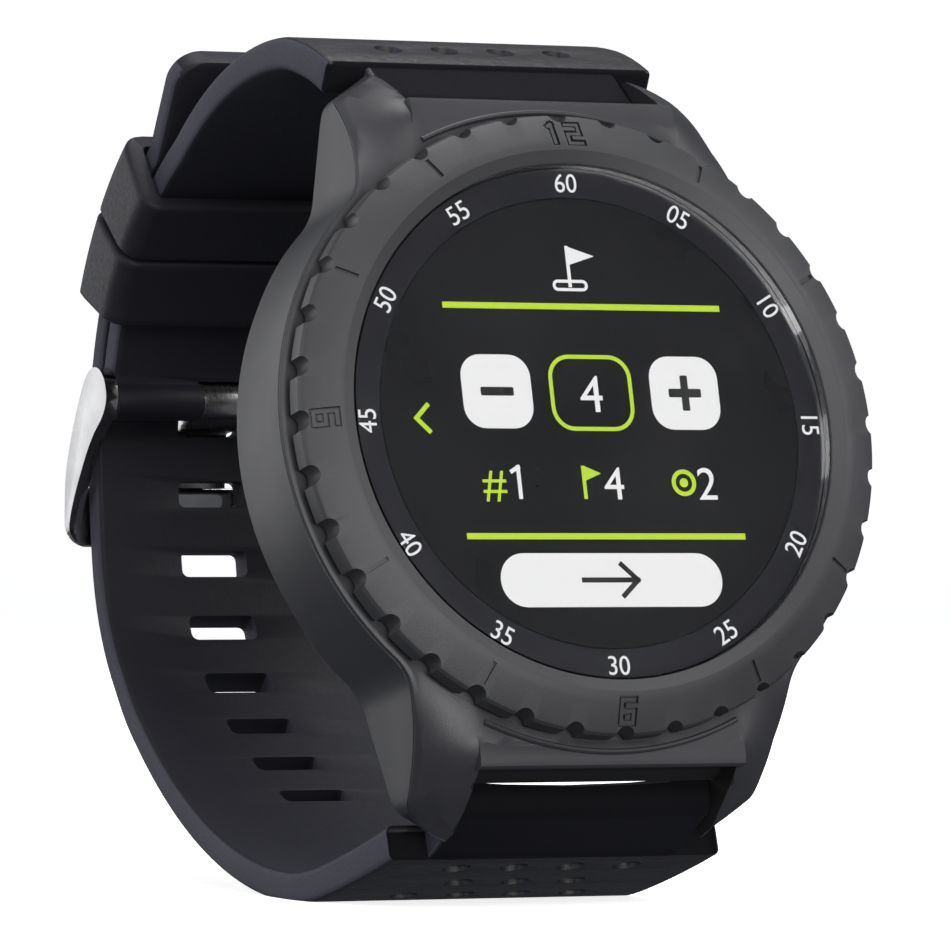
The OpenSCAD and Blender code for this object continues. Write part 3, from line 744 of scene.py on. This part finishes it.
def make_case():
    """The case shell, with the recesses behind the strap ends darkened with painted shade."""
    body = case_mesh()
    whole = Matrix.Identity(4)
    for sign in (1, -1):
        body = boolean(body, shelf_mesh(sign), "UNION")
        body = boolean(body, strap_gap_mesh(sign))
    pocket = prism(pill_outline(10.1, 4.9), 22.6, 30)
    pocket.transform(TO_EDGE)
    body = boolean(body, pocket)
    body = bevelled(body, 0.16, 38, 2)
    body = joined([(body, whole), (rib_mesh(1), whole), (rib_mesh(-1), whole)])
    made = place_piece(
        "case_shell", body, TO_DIAL, [CASE, RECESS_PAINTED_SHADE], "watch", ["case_body"], 28
    )
    back_to_dial = TO_DIAL.inverted()

    # Faces of the recess behind each strap end get the painted-shade material
    def choose(normal, centre):
        x, y, z = back_to_dial @ centre
        return 1 if abs(x) < 11.1 and abs(y) > 22.5 and z < -3.95 else 0

    paint(made, choose)


# ---- bezel ----

FACE_IN = (21.3, 0.8)
FACE_OUT = (24.1, -0.35)
FACE_MID_R = 22.75
FACE_SLOPE = math.atan2(FACE_IN[1] - FACE_OUT[1], FACE_OUT[0] - FACE_IN[0])

# Strokes of the squared figures, as (x, y) polylines in a box 1 wide and 1.6 high
FIGURES = {
    "1": [[(-0.2, 0.62), (0.05, 0.8), (0.05, -0.8)]],
    "2": [[(-0.45, 0.8), (0.45, 0.8), (0.45, 0.0), (-0.45, 0.0), (-0.45, -0.8), (0.5, -0.8)]],
    "3": [[(-0.45, 0.8), (0.45, 0.8), (0.45, -0.8), (-0.45, -0.8)], [(-0.2, 0.0), (0.45, 0.0)]],
    "6": [[(0.45, 0.8), (-0.45, 0.8), (-0.45, -0.8), (0.45, -0.8), (0.45, 0.0), (-0.45, 0.0)]],
    "9": [[(-0.45, -0.8), (0.45, -0.8), (0.45, 0.8), (-0.45, 0.8), (-0.45, 0.0), (0.45, 0.0)]],
}
FIGURE_SIZE = 1.12
# (figure, angle, offset along the face, turn) of each engraved figure
BEZEL_FIGURES = [
    ("1", math.pi / 2, -0.95, 0),
    ("2", math.pi / 2, 0.85, 0),
    ("3", 0, 0, 0),
    ("6", -math.pi / 2, 0, math.pi),
    ("9", math.pi, 0, 0),
]


def on_face(angle):
    """Frame on the bezel's sloped face: X clockwise, Y outwards, Z out of the face."""
    height = FACE_IN[1] - (FACE_MID_R - FACE_IN[0]) * math.tan(FACE_SLOPE)
    return (
        Matrix.Rotation(angle - math.pi / 2, 4, "Z")
        @ Matrix.Translation((0, FACE_MID_R, height))
        @ Matrix.Rotation(-FACE_SLOPE, 4, "X")
    )


def line_bars(points, width, low, high):
    """Straight bars of even width through points, overlapping at the corners."""
    made = []
    for start, end in zip(points, points[1:]):
        a, b = Vector(start), Vector(end)
        along = (b - a).normalized()
        side = Vector((-along.y, along.x)) * width / 2
        a, b = a - along * width / 2, b + along * width / 2
        made.append(prism([tuple(p) for p in (a - side, b - side, b + side, a + side)], low, high))
    return made


def strokes(figure, width, low, high):
    """One solid of the bars along a squared figure's strokes."""
    made = [bar for line in FIGURES[figure] for bar in line_bars(line, width, low, high)]
    whole = made[0]
    for other in made[1:]:
        whole = boolean(whole, other, "UNION")
    return whole


def make_bezel():
    profile = [(20.28, LAND_Z), (20.28, 0.22)]
    profile += [(20.36, 0.36), FACE_IN]
    profile += [(21.45, 0.79), (22.2, 0.52), FACE_OUT, (24.3, -0.48), (BEZEL_R, -0.78)]
    profile += [(BEZEL_R, -2.2), (24.34, -2.34), (23.6, -2.5), (23.6, LAND_Z)]
    body = lathe(profile)
    notch = rod((0, 0), NOTCH_R, -5, 5)
    cutters = []
    for i in range(NOTCHES):
        turn = Matrix.Rotation(2 * math.pi * i / NOTCHES, 4, "Z")
        cutters.append((notch, turn @ Matrix.Translation((BEZEL_R + 0.12, 0, 0))))
    body = boolean(body, joined(cutters))
    bar = prism([(-0.16, -0.95), (0.16, -0.95), (0.16, 0.95), (-0.16, 0.95)], -0.2, 1)
    cutters = [(bar, on_face(math.radians(30 * i))) for i in (1, 2, 4, 5, 7, 8, 10, 11)]
    body = boolean(body, joined(cutters))
    body = bevelled(body, 0.14, 34, 2)
    filling = []
    for figure, angle, offset, turn in BEZEL_FIGURES:
        spot = (
            on_face(angle)
            @ Matrix.Translation((offset, 0, 0))
            @ Matrix.Rotation(turn, 4, "Z")
            @ Matrix.Scale(FIGURE_SIZE, 4)
        )
        cutter = strokes(figure, 0.52, -0.24, 1)
        cutter.transform(spot)
        body = boolean(body, cutter)
        inner = strokes(figure, 0.24, -0.4, -0.03)
        filling.append((inner, spot))
    body = joined([(body, Matrix.Identity(4)), *filling])
    place_piece("bezel", body, TO_DIAL, [BEZEL], "watch", ["bezel_ring"], 28)


# ---- dial print and display ----


def glyph(text, height):
    """Flat mesh of a figure in Blender's own font, centred, with the given figure height."""
    curve = bpy.data.curves.new("glyph", "FONT")
    curve.body = text
    curve.size = height / 0.729
    curve.align_x = "CENTER"
    curve.resolution_u = 6
    curve.extrude = 0.01
    scratch = bpy.data.objects.new("glyph", curve)
    bpy.context.scene.collection.objects.link(scratch)
    bpy.context.view_layer.update()
    graph = bpy.context.evaluated_depsgraph_get()
    mesh = bpy.data.meshes.new_from_object(scratch.evaluated_get(graph))
    bpy.data.objects.remove(scratch)
    mesh.transform(Matrix.Translation((0, -height / 2, 0)))
    mesh.materials.clear()
    return mesh


def flat(outline):
    return prism(outline, -0.01, 0.01)


def stroke_shape(points, width):
    """A flat line of even width through points, with square corners."""
    bars = line_bars(points, width, -0.01, 0.01)
    return joined([(bar, Matrix.Identity(4)) for bar in bars])


def frame_shape(width, height, radius, line):
    """A flat outlined rounded box."""
    outer = rounded_box(width, height, radius, 8)
    inner = rounded_box(width - 2 * line, height - 2 * line, radius - line, 8)
    rings = [
        [(x, y, -0.01) for x, y in outer],
        [(x, y, 0.01) for x, y in outer],
        [(x, y, 0.01) for x, y in inner],
        [(x, y, -0.01) for x, y in inner],
    ]
    return loft(rings, closed_loop=True)


def at(x, y, lift=0.0, turn=0.0):
    return Matrix.Translation((x, y, SCREEN_Z + lift)) @ Matrix.Rotation(turn, 4, "Z")


def make_minute_figures():
    """The minute figures: 5 to 60, upright in the upper half and turned in the lower half."""
    parts = []
    for minute in range(5, 65, 5):
        angle = math.radians(minute * 6)
        turn = -angle if minute >= 45 or minute <= 15 else math.pi - angle
        label = f"{minute:02d}"
        spot = at(19.0 * math.sin(angle), 19.0 * math.cos(angle), 0, turn)
        parts.append((glyph(label, 1.55), spot @ Matrix.Scale(0.94, 4, (1, 0, 0))))
    # The printed figures take the glowing material, a painted glow on white print
    place_piece("minute_figures", joined(parts), TO_DIAL, [FIGURE_PAINTED_GLOW], "watch")


def make_screen():
    """The score page: a flag sign, a count with minus and plus keys, a row of counts and a key."""
    middle = 0.25
    key = rounded_box(5.9, 5.8, 1.75, 8)
    bar = rounded_box(2.8, 0.68, 0.12, 3)
    rule = [(-11.9, -0.24), (11.9, -0.24), (11.9, 0.24), (-11.9, 0.24)]
    white = [
        (flat(key), at(middle - 8.05, 2.35)),
        (flat(key), at(middle + 8.05, 2.35)),
        (flat(rounded_box(18.9, 4.2, 2.08, 10)), at(middle, -12.4)),
        (glyph("4", 3.0), at(middle, 2.3)),
        (stroke_shape([(-0.42, 0.85), (0.12, 1.16), (0.12, -1.16)], 0.32), at(middle - 7.1, -4.75)),
        (glyph("4", 2.65), at(middle + 1.1, -4.75)),
        (glyph("2", 2.65), at(middle + 9.1, -4.75)),
        (stroke_shape([(-0.8, -1.5), (-0.8, 1.5)], 0.28), at(middle, 12.3)),
        (flat([(-0.8, 1.6), (1.5, 0.85), (-0.8, 0.1)]), at(middle, 12.3, 0.003)),
        (frame_shape(3.0, 0.9, 0.44, 0.24), at(middle - 0.8, 10.8)),
    ]
    green = [
        (flat(rule), at(middle, 9.12)),
        (flat(rule), at(middle, -8.98)),
        (frame_shape(7.1, 6.0, 1.85, 0.32), at(middle, 2.3)),
        (stroke_shape([(0.55, 1.0), (-0.45, 0), (0.55, -1.0)], 0.36), at(-14.4, 0.2)),
        (glyph("#", 2.5), at(middle - 9.1, -4.75)),
        (stroke_shape([(-0.55, -1.15), (-0.55, 1.15)], 0.3), at(middle - 0.9, -4.75)),
        (flat([(-0.5, 1.3), (0.95, 0.7), (-0.5, 0.1)]), at(middle - 0.9, -4.75, 0.003)),
        (frame_shape(2.1, 2.1, 1.04, 0.34), at(middle + 7.1, -4.75)),
        (rod((0, 0), 0.36, -0.01, 0.01), at(middle + 7.1, -4.75)),
    ]
    above = 0.025
    dark = [
        (flat(bar), at(middle - 8.05, 2.35, above)),
        (flat(bar), at(middle + 8.05, 2.35, above)),
        (flat(rounded_box(0.64, 2.8, 0.12, 3)), at(middle + 8.05, 2.35, above + 0.003)),
        (stroke_shape([(-2.4, 0), (2.2, 0)], 0.4), at(middle, -12.4, above)),
        (stroke_shape([(0.9, 1.2), (2.2, 0), (0.9, -1.2)], 0.4), at(middle, -12.4, above + 0.003)),
    ]
    for name, parts, material in (
        ("screen_white", white, LIT_WHITE),
        ("screen_green", green, LIT_GREEN),
        ("screen_signs", dark, DARK_SIGN),
    ):
        place_piece(name, joined(parts), TO_DIAL, [material], "watch")


# ---- band ----


def unit(degrees):
    a = math.radians(degrees)
    return Vector((math.cos(a), math.sin(a)))


def chain_centre(chain, k):
    centre = Vector(WRIST)
    for i in range(1, k + 1):
        centre += (chain[i - 1][0] - chain[i][0]) * unit(chain[i][1])
    return centre


def chain_stations(chain, t_first, t_last):
    """Points along a chain as (point, outward direction, thickness)."""
    found = []
    for k, (radius, start, end) in enumerate(chain):
        count = max(3, math.ceil(abs(end - start) / 2.5 * radius / 30))
        for i in range(0 if k == 0 else 1, count + 1):
            a = start + (end - start) * i / count
            part = (k + i / count) / len(chain)
            found.append(
                (
                    chain_centre(chain, k) + radius * unit(a),
                    unit(a),
                    t_first + (t_last - t_first) * part * part,
                )
            )
    return found


def half_width(y, end=55):
    """Half width of a strap, which tapers from the shoulder to the buckle, where y is end."""
    part = min(1, max(0, (y - 24) / (end - 24)))
    return (SHOULDER_W + (BAND_W - SHOULDER_W) * part) / 2


def strap_section(point, out, thick, half, corner):
    """Rounded rectangle across a strap."""
    return [
        (point.x + out.x * n, point.y + out.y * n, x)
        for x, n in rounded_box(2 * half, thick, corner, 4)
    ]


def strap_sweep(stations, halves):
    """A strap along its stations, with a rounded edge at the last one."""
    rings = []
    for (point, out, thick), half in zip(stations, halves):
        rings.append(strap_section(point, out, thick, half, min(STRAP_CORNER, thick / 2 - 0.05)))
    point, out, thick = stations[-1]
    along = Vector((-out.y, out.x))
    for grow, cut in ((0.16, 0.05), (0.3, 0.2), (0.36, 0.42)):
        corner = max(0.1, STRAP_CORNER - cut)
        rings.append(
            strap_section(point + along * grow, out, thick - 2 * cut, halves[-1] - cut, corner)
        )
    return loft(rings)


def buckle_bar_point():
    return Vector(WRIST) + BUCKLE_BAR[0] * unit(BUCKLE_BAR[1])


def bar_point(sign):
    """The spring bar's axis at 12 o'clock (sign 1) or 6 o'clock (sign -1), in the side frame."""
    return Vector(
        (
            BAR_DEPTH * math.cos(LEAN) + sign * BAR_REACH * math.sin(LEAN),
            sign * BAR_REACH * math.cos(LEAN) - BAR_DEPTH * math.sin(LEAN),
        )
    )


def strap_root(sign, chain):
    """The strap's end between the lugs: a roll round the spring bar."""
    radius, _, end = chain[-1]
    centre = chain_centre(chain, len(chain) - 1)
    root_out = centre + (radius + SHOULDER_T / 2 - 0.5) * unit(end)
    root_in = centre + (radius - SHOULDER_T / 2 + 0.1) * unit(end)
    bar = bar_point(sign)
    along = ((root_out + root_in) / 2 - bar).normalized()
    base = math.degrees(math.atan2(along.y, along.x))
    across = 1 if sign > 0 else -1
    roll = arc(bar, ROOT_R, base + 90 * across, base + 270 * across, 20)
    step = along * 0.8
    outline = [tuple(root_out + step)] + roll + [tuple(root_in + step)]
    half = LUG_GAP / 2 - 0.2
    soft = 0.3
    middle = Vector((sum(p[0] for p in outline), sum(p[1] for p in outline))) / len(outline)

    def ring(x, shrink):
        return [
            (p[0] + (middle.x - p[0]) * shrink, p[1] + (middle.y - p[1]) * shrink, x) for p in outline
        ]

    root = loft(
        [ring(-half, 0.09), ring(-half + soft * 0.4, 0.02), ring(-half + soft, 0), ring(half - soft, 0),
         ring(half - soft * 0.4, 0.02), ring(half, 0.09)]
    )
    if sign < 0:
        dip = rod((0, 0), DIP_R, -8, 15, 144)
        dip.transform(Matrix(((0, 0, 1, 0), (0, 1, 0, DIP_LOW + DIP_R), (-1, 0, 0, 0), (0, 0, 0, 1))))
        root = boolean(root, dip)
    return root


def chain_at_length(chain, first_angle, length):
    """(point, outward angle) at an arc length from first_angle, towards smaller angles."""
    left = length
    for k, (radius, start, end) in enumerate(chain):
        begin = first_angle if k == 0 else start
        span = math.radians(begin - end) * radius
        if left <= span:
            a = begin - math.degrees(left / radius)
            return chain_centre(chain, k) + radius * unit(a), a
        left -= span
    raise ValueError("the slot row is longer than the strap")


def slot_cutters():
    """The adjustment slots, a pitch apart on both sides of the prong's slot."""
    cutters = []
    shape = prism(rounded_box(SLOT_H, SLOT_W, 0.55, 4), -4, 4)
    for i in range(-4, 8):
        if i <= 0:
            a = 3.4 - i * math.degrees(SLOT_PITCH / LOWER_R)
            point = Vector(WRIST) + LOWER_R * unit(a)
        else:
            point, a = chain_at_length(LOWER_CHAIN, 3.4, i * SLOT_PITCH)
        # The prism's Z goes along the outward direction, its X along the strap
        out = unit(a)
        along = Vector((-out.y, out.x))
        matrix = Matrix(
            ((along.x, 0, out.x, point.x), (along.y, 0, out.y, point.y), (0, 1, 0, 0), (0, 0, 0, 1))
        )
        cutters.append((shape, matrix))
    return joined(cutters)


def dimple_cutters(chain, offset_first):
    """Shallow dimples on the outer face by the shoulder, in staggered rows of 4 and 3."""
    dimple = rod((0, 0), DIMPLE_R, -DIMPLE_DEPTH, 2)
    radius, _, end = chain[-1]
    cutters = []
    length = offset_first
    for row in range(4):
        a = end + math.copysign(math.degrees(length / radius), -end)
        k = len(chain) - 1
        while abs(a) < abs(chain[k][1]) and k > 0:
            over = math.radians(abs(chain[k][1]) - abs(a)) * chain[k][0]
            k -= 1
            a = chain[k][2] - math.copysign(math.degrees(over / chain[k][0]), chain[k][2])
        out = unit(a)
        point = chain_centre(chain, k) + (chain[k][0] + SHOULDER_T / 2) * out
        along = Vector((-out.y, out.x))
        across = 4 - row % 2
        for i in range(across):
            x = 4.9 * (i - (across - 1) / 2)
            matrix = Matrix(
                ((along.x, 0, out.x, point.x), (along.y, 0, out.y, point.y), (0, 1, 0, x), (0, 0, 0, 1))
            )
            cutters.append((dimple, matrix))
        length += 4.8
    return joined(cutters)


def paint_band(made, grain_limit, bar):
    """Grey matt edges, lighter partly as painted light; a root and shoulder end darkened as painted
    shade; a grained outer face near the case.
    """

    def choose(normal, centre):
        y = (centre.y - dial_centre.y) / MM
        z = (centre.z - dial_centre.z) / MM
        from_bar = (Vector((y, z)) - bar).length
        # Painted shade: the strap's root round the spring bar gets the near-black material
        if abs(centre.x) < 11 * MM and from_bar < 4.1:
            return BAND_FINISHES_AND_PAINTED_LIGHT.index(BAND_ROOT_PAINTED_SHADE)
        # Side faces get the grey edge material, lighter partly as painted light
        if abs(normal.x) > 0.75:
            return BAND_FINISHES_AND_PAINTED_LIGHT.index(BAND_EDGE_MATT_AND_LIT)
        spoke = Vector((y - WRIST[0], z - WRIST[1])).normalized()
        outwards = normal.y * spoke.x + normal.z * spoke.y
        # Painted shade: the shoulder's end walls near the bar get the near-black material
        if from_bar < 6.5 and abs(outwards) < 0.6:
            return BAND_FINISHES_AND_PAINTED_LIGHT.index(BAND_ROOT_PAINTED_SHADE)
        return BAND_FINISHES_AND_PAINTED_LIGHT.index(BAND_GRAIN if outwards > 0 and y < grain_limit else BAND)

    paint(made, choose)


def make_upper_strap():
    stations = chain_stations(UPPER_CHAIN, UPPER_T, SHOULDER_T)
    halves = [half_width(p.x) for p, _, _ in stations]
    body = strap_sweep(stations, halves)
    buckle_bar = buckle_bar_point()
    roll = rod(buckle_bar, 1.6, -BAND_W / 2 + 0.1, BAND_W / 2 - 0.1)
    body = boolean(body, strap_root(1, UPPER_CHAIN), "UNION")
    body = boolean(body, roll, "UNION")
    half_notch = PRONG_W / 2 + 0.1
    notch = prism(rounded_box(8, 4.6, 0.5, 4), -half_notch, half_notch)
    notch.transform(Matrix.Translation((buckle_bar.x, buckle_bar.y - 0.6, 0)))
    body = boolean(body, notch)
    body = boolean(body, rod(bar_point(1), BAR_BORE, -20, 20))
    body = boolean(body, rod(buckle_bar, BUCKLE_BORE, -20, 20))
    body = boolean(body, dimple_cutters(UPPER_CHAIN, 3.1))
    body = bevelled(body, 0.1, 50, 2)
    made = place_piece(
        "upper_strap", body, TO_SIDE, BAND_FINISHES_AND_PAINTED_LIGHT, "watch", ["strap_upper"]
    )
    paint_band(made, 36, bar_point(1))


def tail_stations():
    """The free tail: on from the arc, then straight to an end with rounded corners."""
    start = Vector(WRIST) + LOWER_R * unit(TAIL_START)
    heading = unit(TAIL_HEADING)
    out_start, out_end = unit(TAIL_START), unit(TAIL_HEADING - 90)
    tip_r = 2.4
    stations, halves = [], []
    for i in range(33):
        s = TAIL_LEN * math.sin(math.pi / 2 * i / 32)
        blend = min(1, s / 2)
        out = (out_start * (1 - blend) + out_end * blend).normalized()
        reach = max(0, s - (TAIL_LEN - tip_r))
        half = BAND_W / 2 - tip_r + math.sqrt(max(0.01, tip_r**2 - reach**2))
        stations.append((start + heading * s, out, LOWER_T))
        halves.append(half)
    return stations, halves


def make_lower_strap():
    stations = chain_stations(LOWER_CHAIN, LOWER_T, SHOULDER_T)
    halves = [half_width(p.x, 66) if o.y < 0 else BAND_W / 2 for p, o, _ in stations]
    tail, tail_halves = tail_stations()
    stations = tail[:0:-1] + stations
    halves = tail_halves[:0:-1] + halves
    body = strap_sweep(stations, halves)
    body = boolean(body, strap_root(-1, LOWER_CHAIN), "UNION")
    body = boolean(body, slot_cutters())
    ground = -dial_centre.z / MM
    below = prism([(-10, -60), (60, -60), (60, ground), (-10, ground)], -20, 20)
    body = boolean(body, below)
    body = boolean(body, rod(bar_point(-1), BAR_BORE, -20, 20))
    body = boolean(body, dimple_cutters(LOWER_CHAIN, 2.6))
    body = bevelled(body, 0.1, 50, 2)
    made = place_piece(
        "lower_strap", body, TO_SIDE, BAND_FINISHES_AND_PAINTED_LIGHT, "watch", ["strap_lower"]
    )
    paint_band(made, 30, bar_point(-1))


def keeper_mesh(start):
    """A loop round both straps, with rounded outer corners and soft edges."""
    inner_r = UPPER_R - UPPER_T / 2 - 0.3
    outer_r = LOWER_R + LOWER_T / 2 + 0.3
    half = BAND_W / 2 + 0.3
    middle = (inner_r + outer_r) / 2
    height = outer_r - inner_r

    def section(wall):
        low, high = 1.2 * wall, 1.3 * wall
        path = rounded_box(2 * half + 3.0 * wall, height + low + high, 0.5 + 1.3 * wall, 6)
        shift = (high - low) / 2
        return [(y + shift + middle, x) for x, y in path]

    outer, outer_soft = section(1), section(0.82)
    inner = [(y + middle, x) for x, y in rounded_box(2 * half, height, 0.5, 6)]

    def ring(section_points, degrees):
        direction = unit(degrees)
        return [
            (WRIST[0] + r * direction.x, WRIST[1] + r * direction.y, x) for r, x in section_points
        ]

    span, soft, steps = 14.0, 0.55, 12
    rings = [ring(outer_soft, start), ring(outer, start + soft)]
    for i in range(1, steps):
        rings.append(ring(outer, start + soft + (span - 2 * soft) * i / steps))
    rings.append(ring(outer, start + span - soft))
    rings.append(ring(outer_soft, start + span))
    for i in range(steps + 1):
        rings.append(ring(inner, start + span - span * i / steps))
    return loft(rings, closed_loop=True)


def make_keepers():
    for name, start, body, node_name in (
        ("fixed_keeper", 23.6, "watch", "keeper_fixed"),
        ("loose_keeper", 38.3, "keeper", "keeper_loose"),
    ):
        place_piece(name, keeper_mesh(start), TO_SIDE, [BAND], body, [node_name], 50)


# ---- buckle ----

ARM = [
    (67.2, 4.6), (66.2, 4.2), (65.4, 3.3), (65.1, 1.9), (65.9, 0.5), (67.6, -0.9), (69, -2.4),
    (70.4, -4.3), (71.5, -6), (72.3, -7.5), (72.75, -9), (72.8, -10.1), (73.1, -10.4),
    (73.4, -10.1), (73.6, -8.6), (73.65, -6.8), (73.55, -5), (73.2, -3.4), (72.4, -1.3),
    (71.45, 0.6), (70.55, 2.2), (69.5, 3.65), (68.4, 4.45),
]
FAR_BAR = [
    (72.98, -5.8), (72.85, -9), (72.8, -10.1), (73.1, -10.4), (73.4, -10.1), (73.6, -8.8),
    (73.62, -5.8),
]
PRONG = [
    (67.9, 0.5), (70, -0.45), (72.7, -0.75), (73.1, -1.1), (73.18, -1.8), (73.2, -4),
    (73.35, -5.4), (73.38, -8.7), (73.7, -9), (73.98, -8.7), (74.05, -7), (73.97, -4), (73.88, -1.3),
    (73.5, -0.35), (72.8, 0.25), (70.8, 0.42), (69.25, 1.2),
]


def corner_cutters():
    """Rounds the two lower corners of the buckle, as seen from behind."""
    corner_r = 2.0
    middle = (BUCKLE_HALF - corner_r, -10.45 + corner_r)
    cutters = []
    for sign in (1, -1):
        outline = [(sign * (x + middle[0]), y + middle[1]) for x, y in arc((0, 0), corner_r, 0, -90, 10)]
        outline += [(sign * middle[0], -12), (sign * 14, -12), (sign * 14, middle[1])]
        cutter = prism(outline, 60, 80)
        cutters.append((cutter, Matrix(((0, 0, 1, 0), (0, 1, 0, 0), (1, 0, 0, 0), (0, 0, 0, 1)))))
    return joined(cutters)


def make_buckle():
    arm = smooth_outline(ARM, 4)
    bar = smooth_outline(FAR_BAR, 4)
    body = prism(bar, -BUCKLE_HALF + 0.3, BUCKLE_HALF - 0.3)
    for low, high in ((-BUCKLE_HALF, -BUCKLE_INSIDE), (BUCKLE_INSIDE, BUCKLE_HALF)):
        body = boolean(body, prism(arm, low, high), "UNION")
    notch = prism([(73.24, -5.5), (73.24, -9.4), (76, -9.4), (76, -5.5)], -2.8, 2.8)
    body = boolean(body, notch)
    body = boolean(body, corner_cutters())
    body = bevelled(body, 0.28, 40, 3)
    made = place_piece(
        "buckle_loop", body, TO_SIDE, [POLISHED, BRUSHED], "buckle", ["buckle_frame"], 40
    )
    paint(made, lambda normal, centre: 1 if abs(normal.x) > 0.97 else 0)
    prong = prism(smooth_outline(PRONG, 3), -PRONG_W / 2, PRONG_W / 2)
    barrel = rod(buckle_bar_point(), 1.45, -PRONG_W / 2, PRONG_W / 2, 48)
    prong = boolean(prong, barrel, "UNION")
    prong = boolean(prong, rod(buckle_bar_point(), 0.8, -5, 5))
    prong = bevelled(prong, 0.2, 45, 2)
    place_piece("buckle_tongue", prong, TO_SIDE, [TURNED], "prong", ["buckle_prong"], 40)


def make_button():
    """The pill-shaped key with its stem, and a clearance round the stem for the spring."""
    outer = 26.0
    rings = []
    for height, cut in ((23.4, 0), (24.9, 0), (25.45, 0.04), (25.75, 0.2), (25.93, 0.45), (outer, 0.8)):
        pill = pill_outline(9.6 - 2 * cut, 4.4 - 2 * cut)
        rings.append([(-x, y, height) for x, y in pill])
    cap = loft(rings)
    groove = prism(rounded_box(0.5, 5.2, 0.24, 4), outer - 0.3, outer + 1)
    cap = boolean(cap, groove)
    stem = rod((0, 0), 1.0, 17.6, 23.5, 48)
    cap = boolean(cap, stem, "UNION")
    recess = rod((0, 0), 1.95, 23, 24.7, 48)
    core = rod((0, 0), 1.0, 22, 26, 48)
    cap = boolean(cap, boolean(recess, core))
    cap = bevelled(cap, 0.06, 45, 2)
    cap.transform(TO_EDGE)
    place_piece("button_key", cap, TO_DIAL, [CASE], "button", ["button_cap"], 30)


def finish_cad_nodes():
    """Materials of the CAD nodes that show as they are."""
    chosen = {
        GLASS: ["cover_glass"],
        RING_BLACK: ["minute_ring"],
        PANEL_BLACK: ["display_panel"],
        CASE: ["back_cover"],
        INNER: ["display_frame", "side_switch"],
        FLEX: ["display_flex"],
        BOARD: ["main_board", "charge_board"],
        TIN: ["shield_cans", "vibration_motor"],
        AERIAL: ["gps_antenna"],
        SCREW: ["board_screws", "back_screws", "button_clip"],
        FOIL: ["battery"],
        FOAM: ["battery_pad"],
        WIRE: ["battery_lead"],
        GOLD: ["charge_contacts"],
        SEAL: ["bezel_gasket", "back_gasket", "button_seal"],
        SPRING: ["button_spring", "upper_bar_spring", "lower_bar_spring", "buckle_bar_spring"],
        TURNED: [
            f"{bar}_{part}"
            for bar in ("upper", "lower", "buckle")
            for part in ("bar_tube", "pin_left", "pin_right")
        ],
    }
    for material, names in chosen.items():
        for name in names:
            mesh = nodes[name].data
            mesh.materials.clear()
            mesh.materials.append(material)


make_camera()
make_studio()
make_case()
make_bezel()
make_minute_figures()
make_screen()
make_upper_strap()
make_lower_strap()
make_keepers()
make_buckle()
make_button()
finish_cad_nodes()
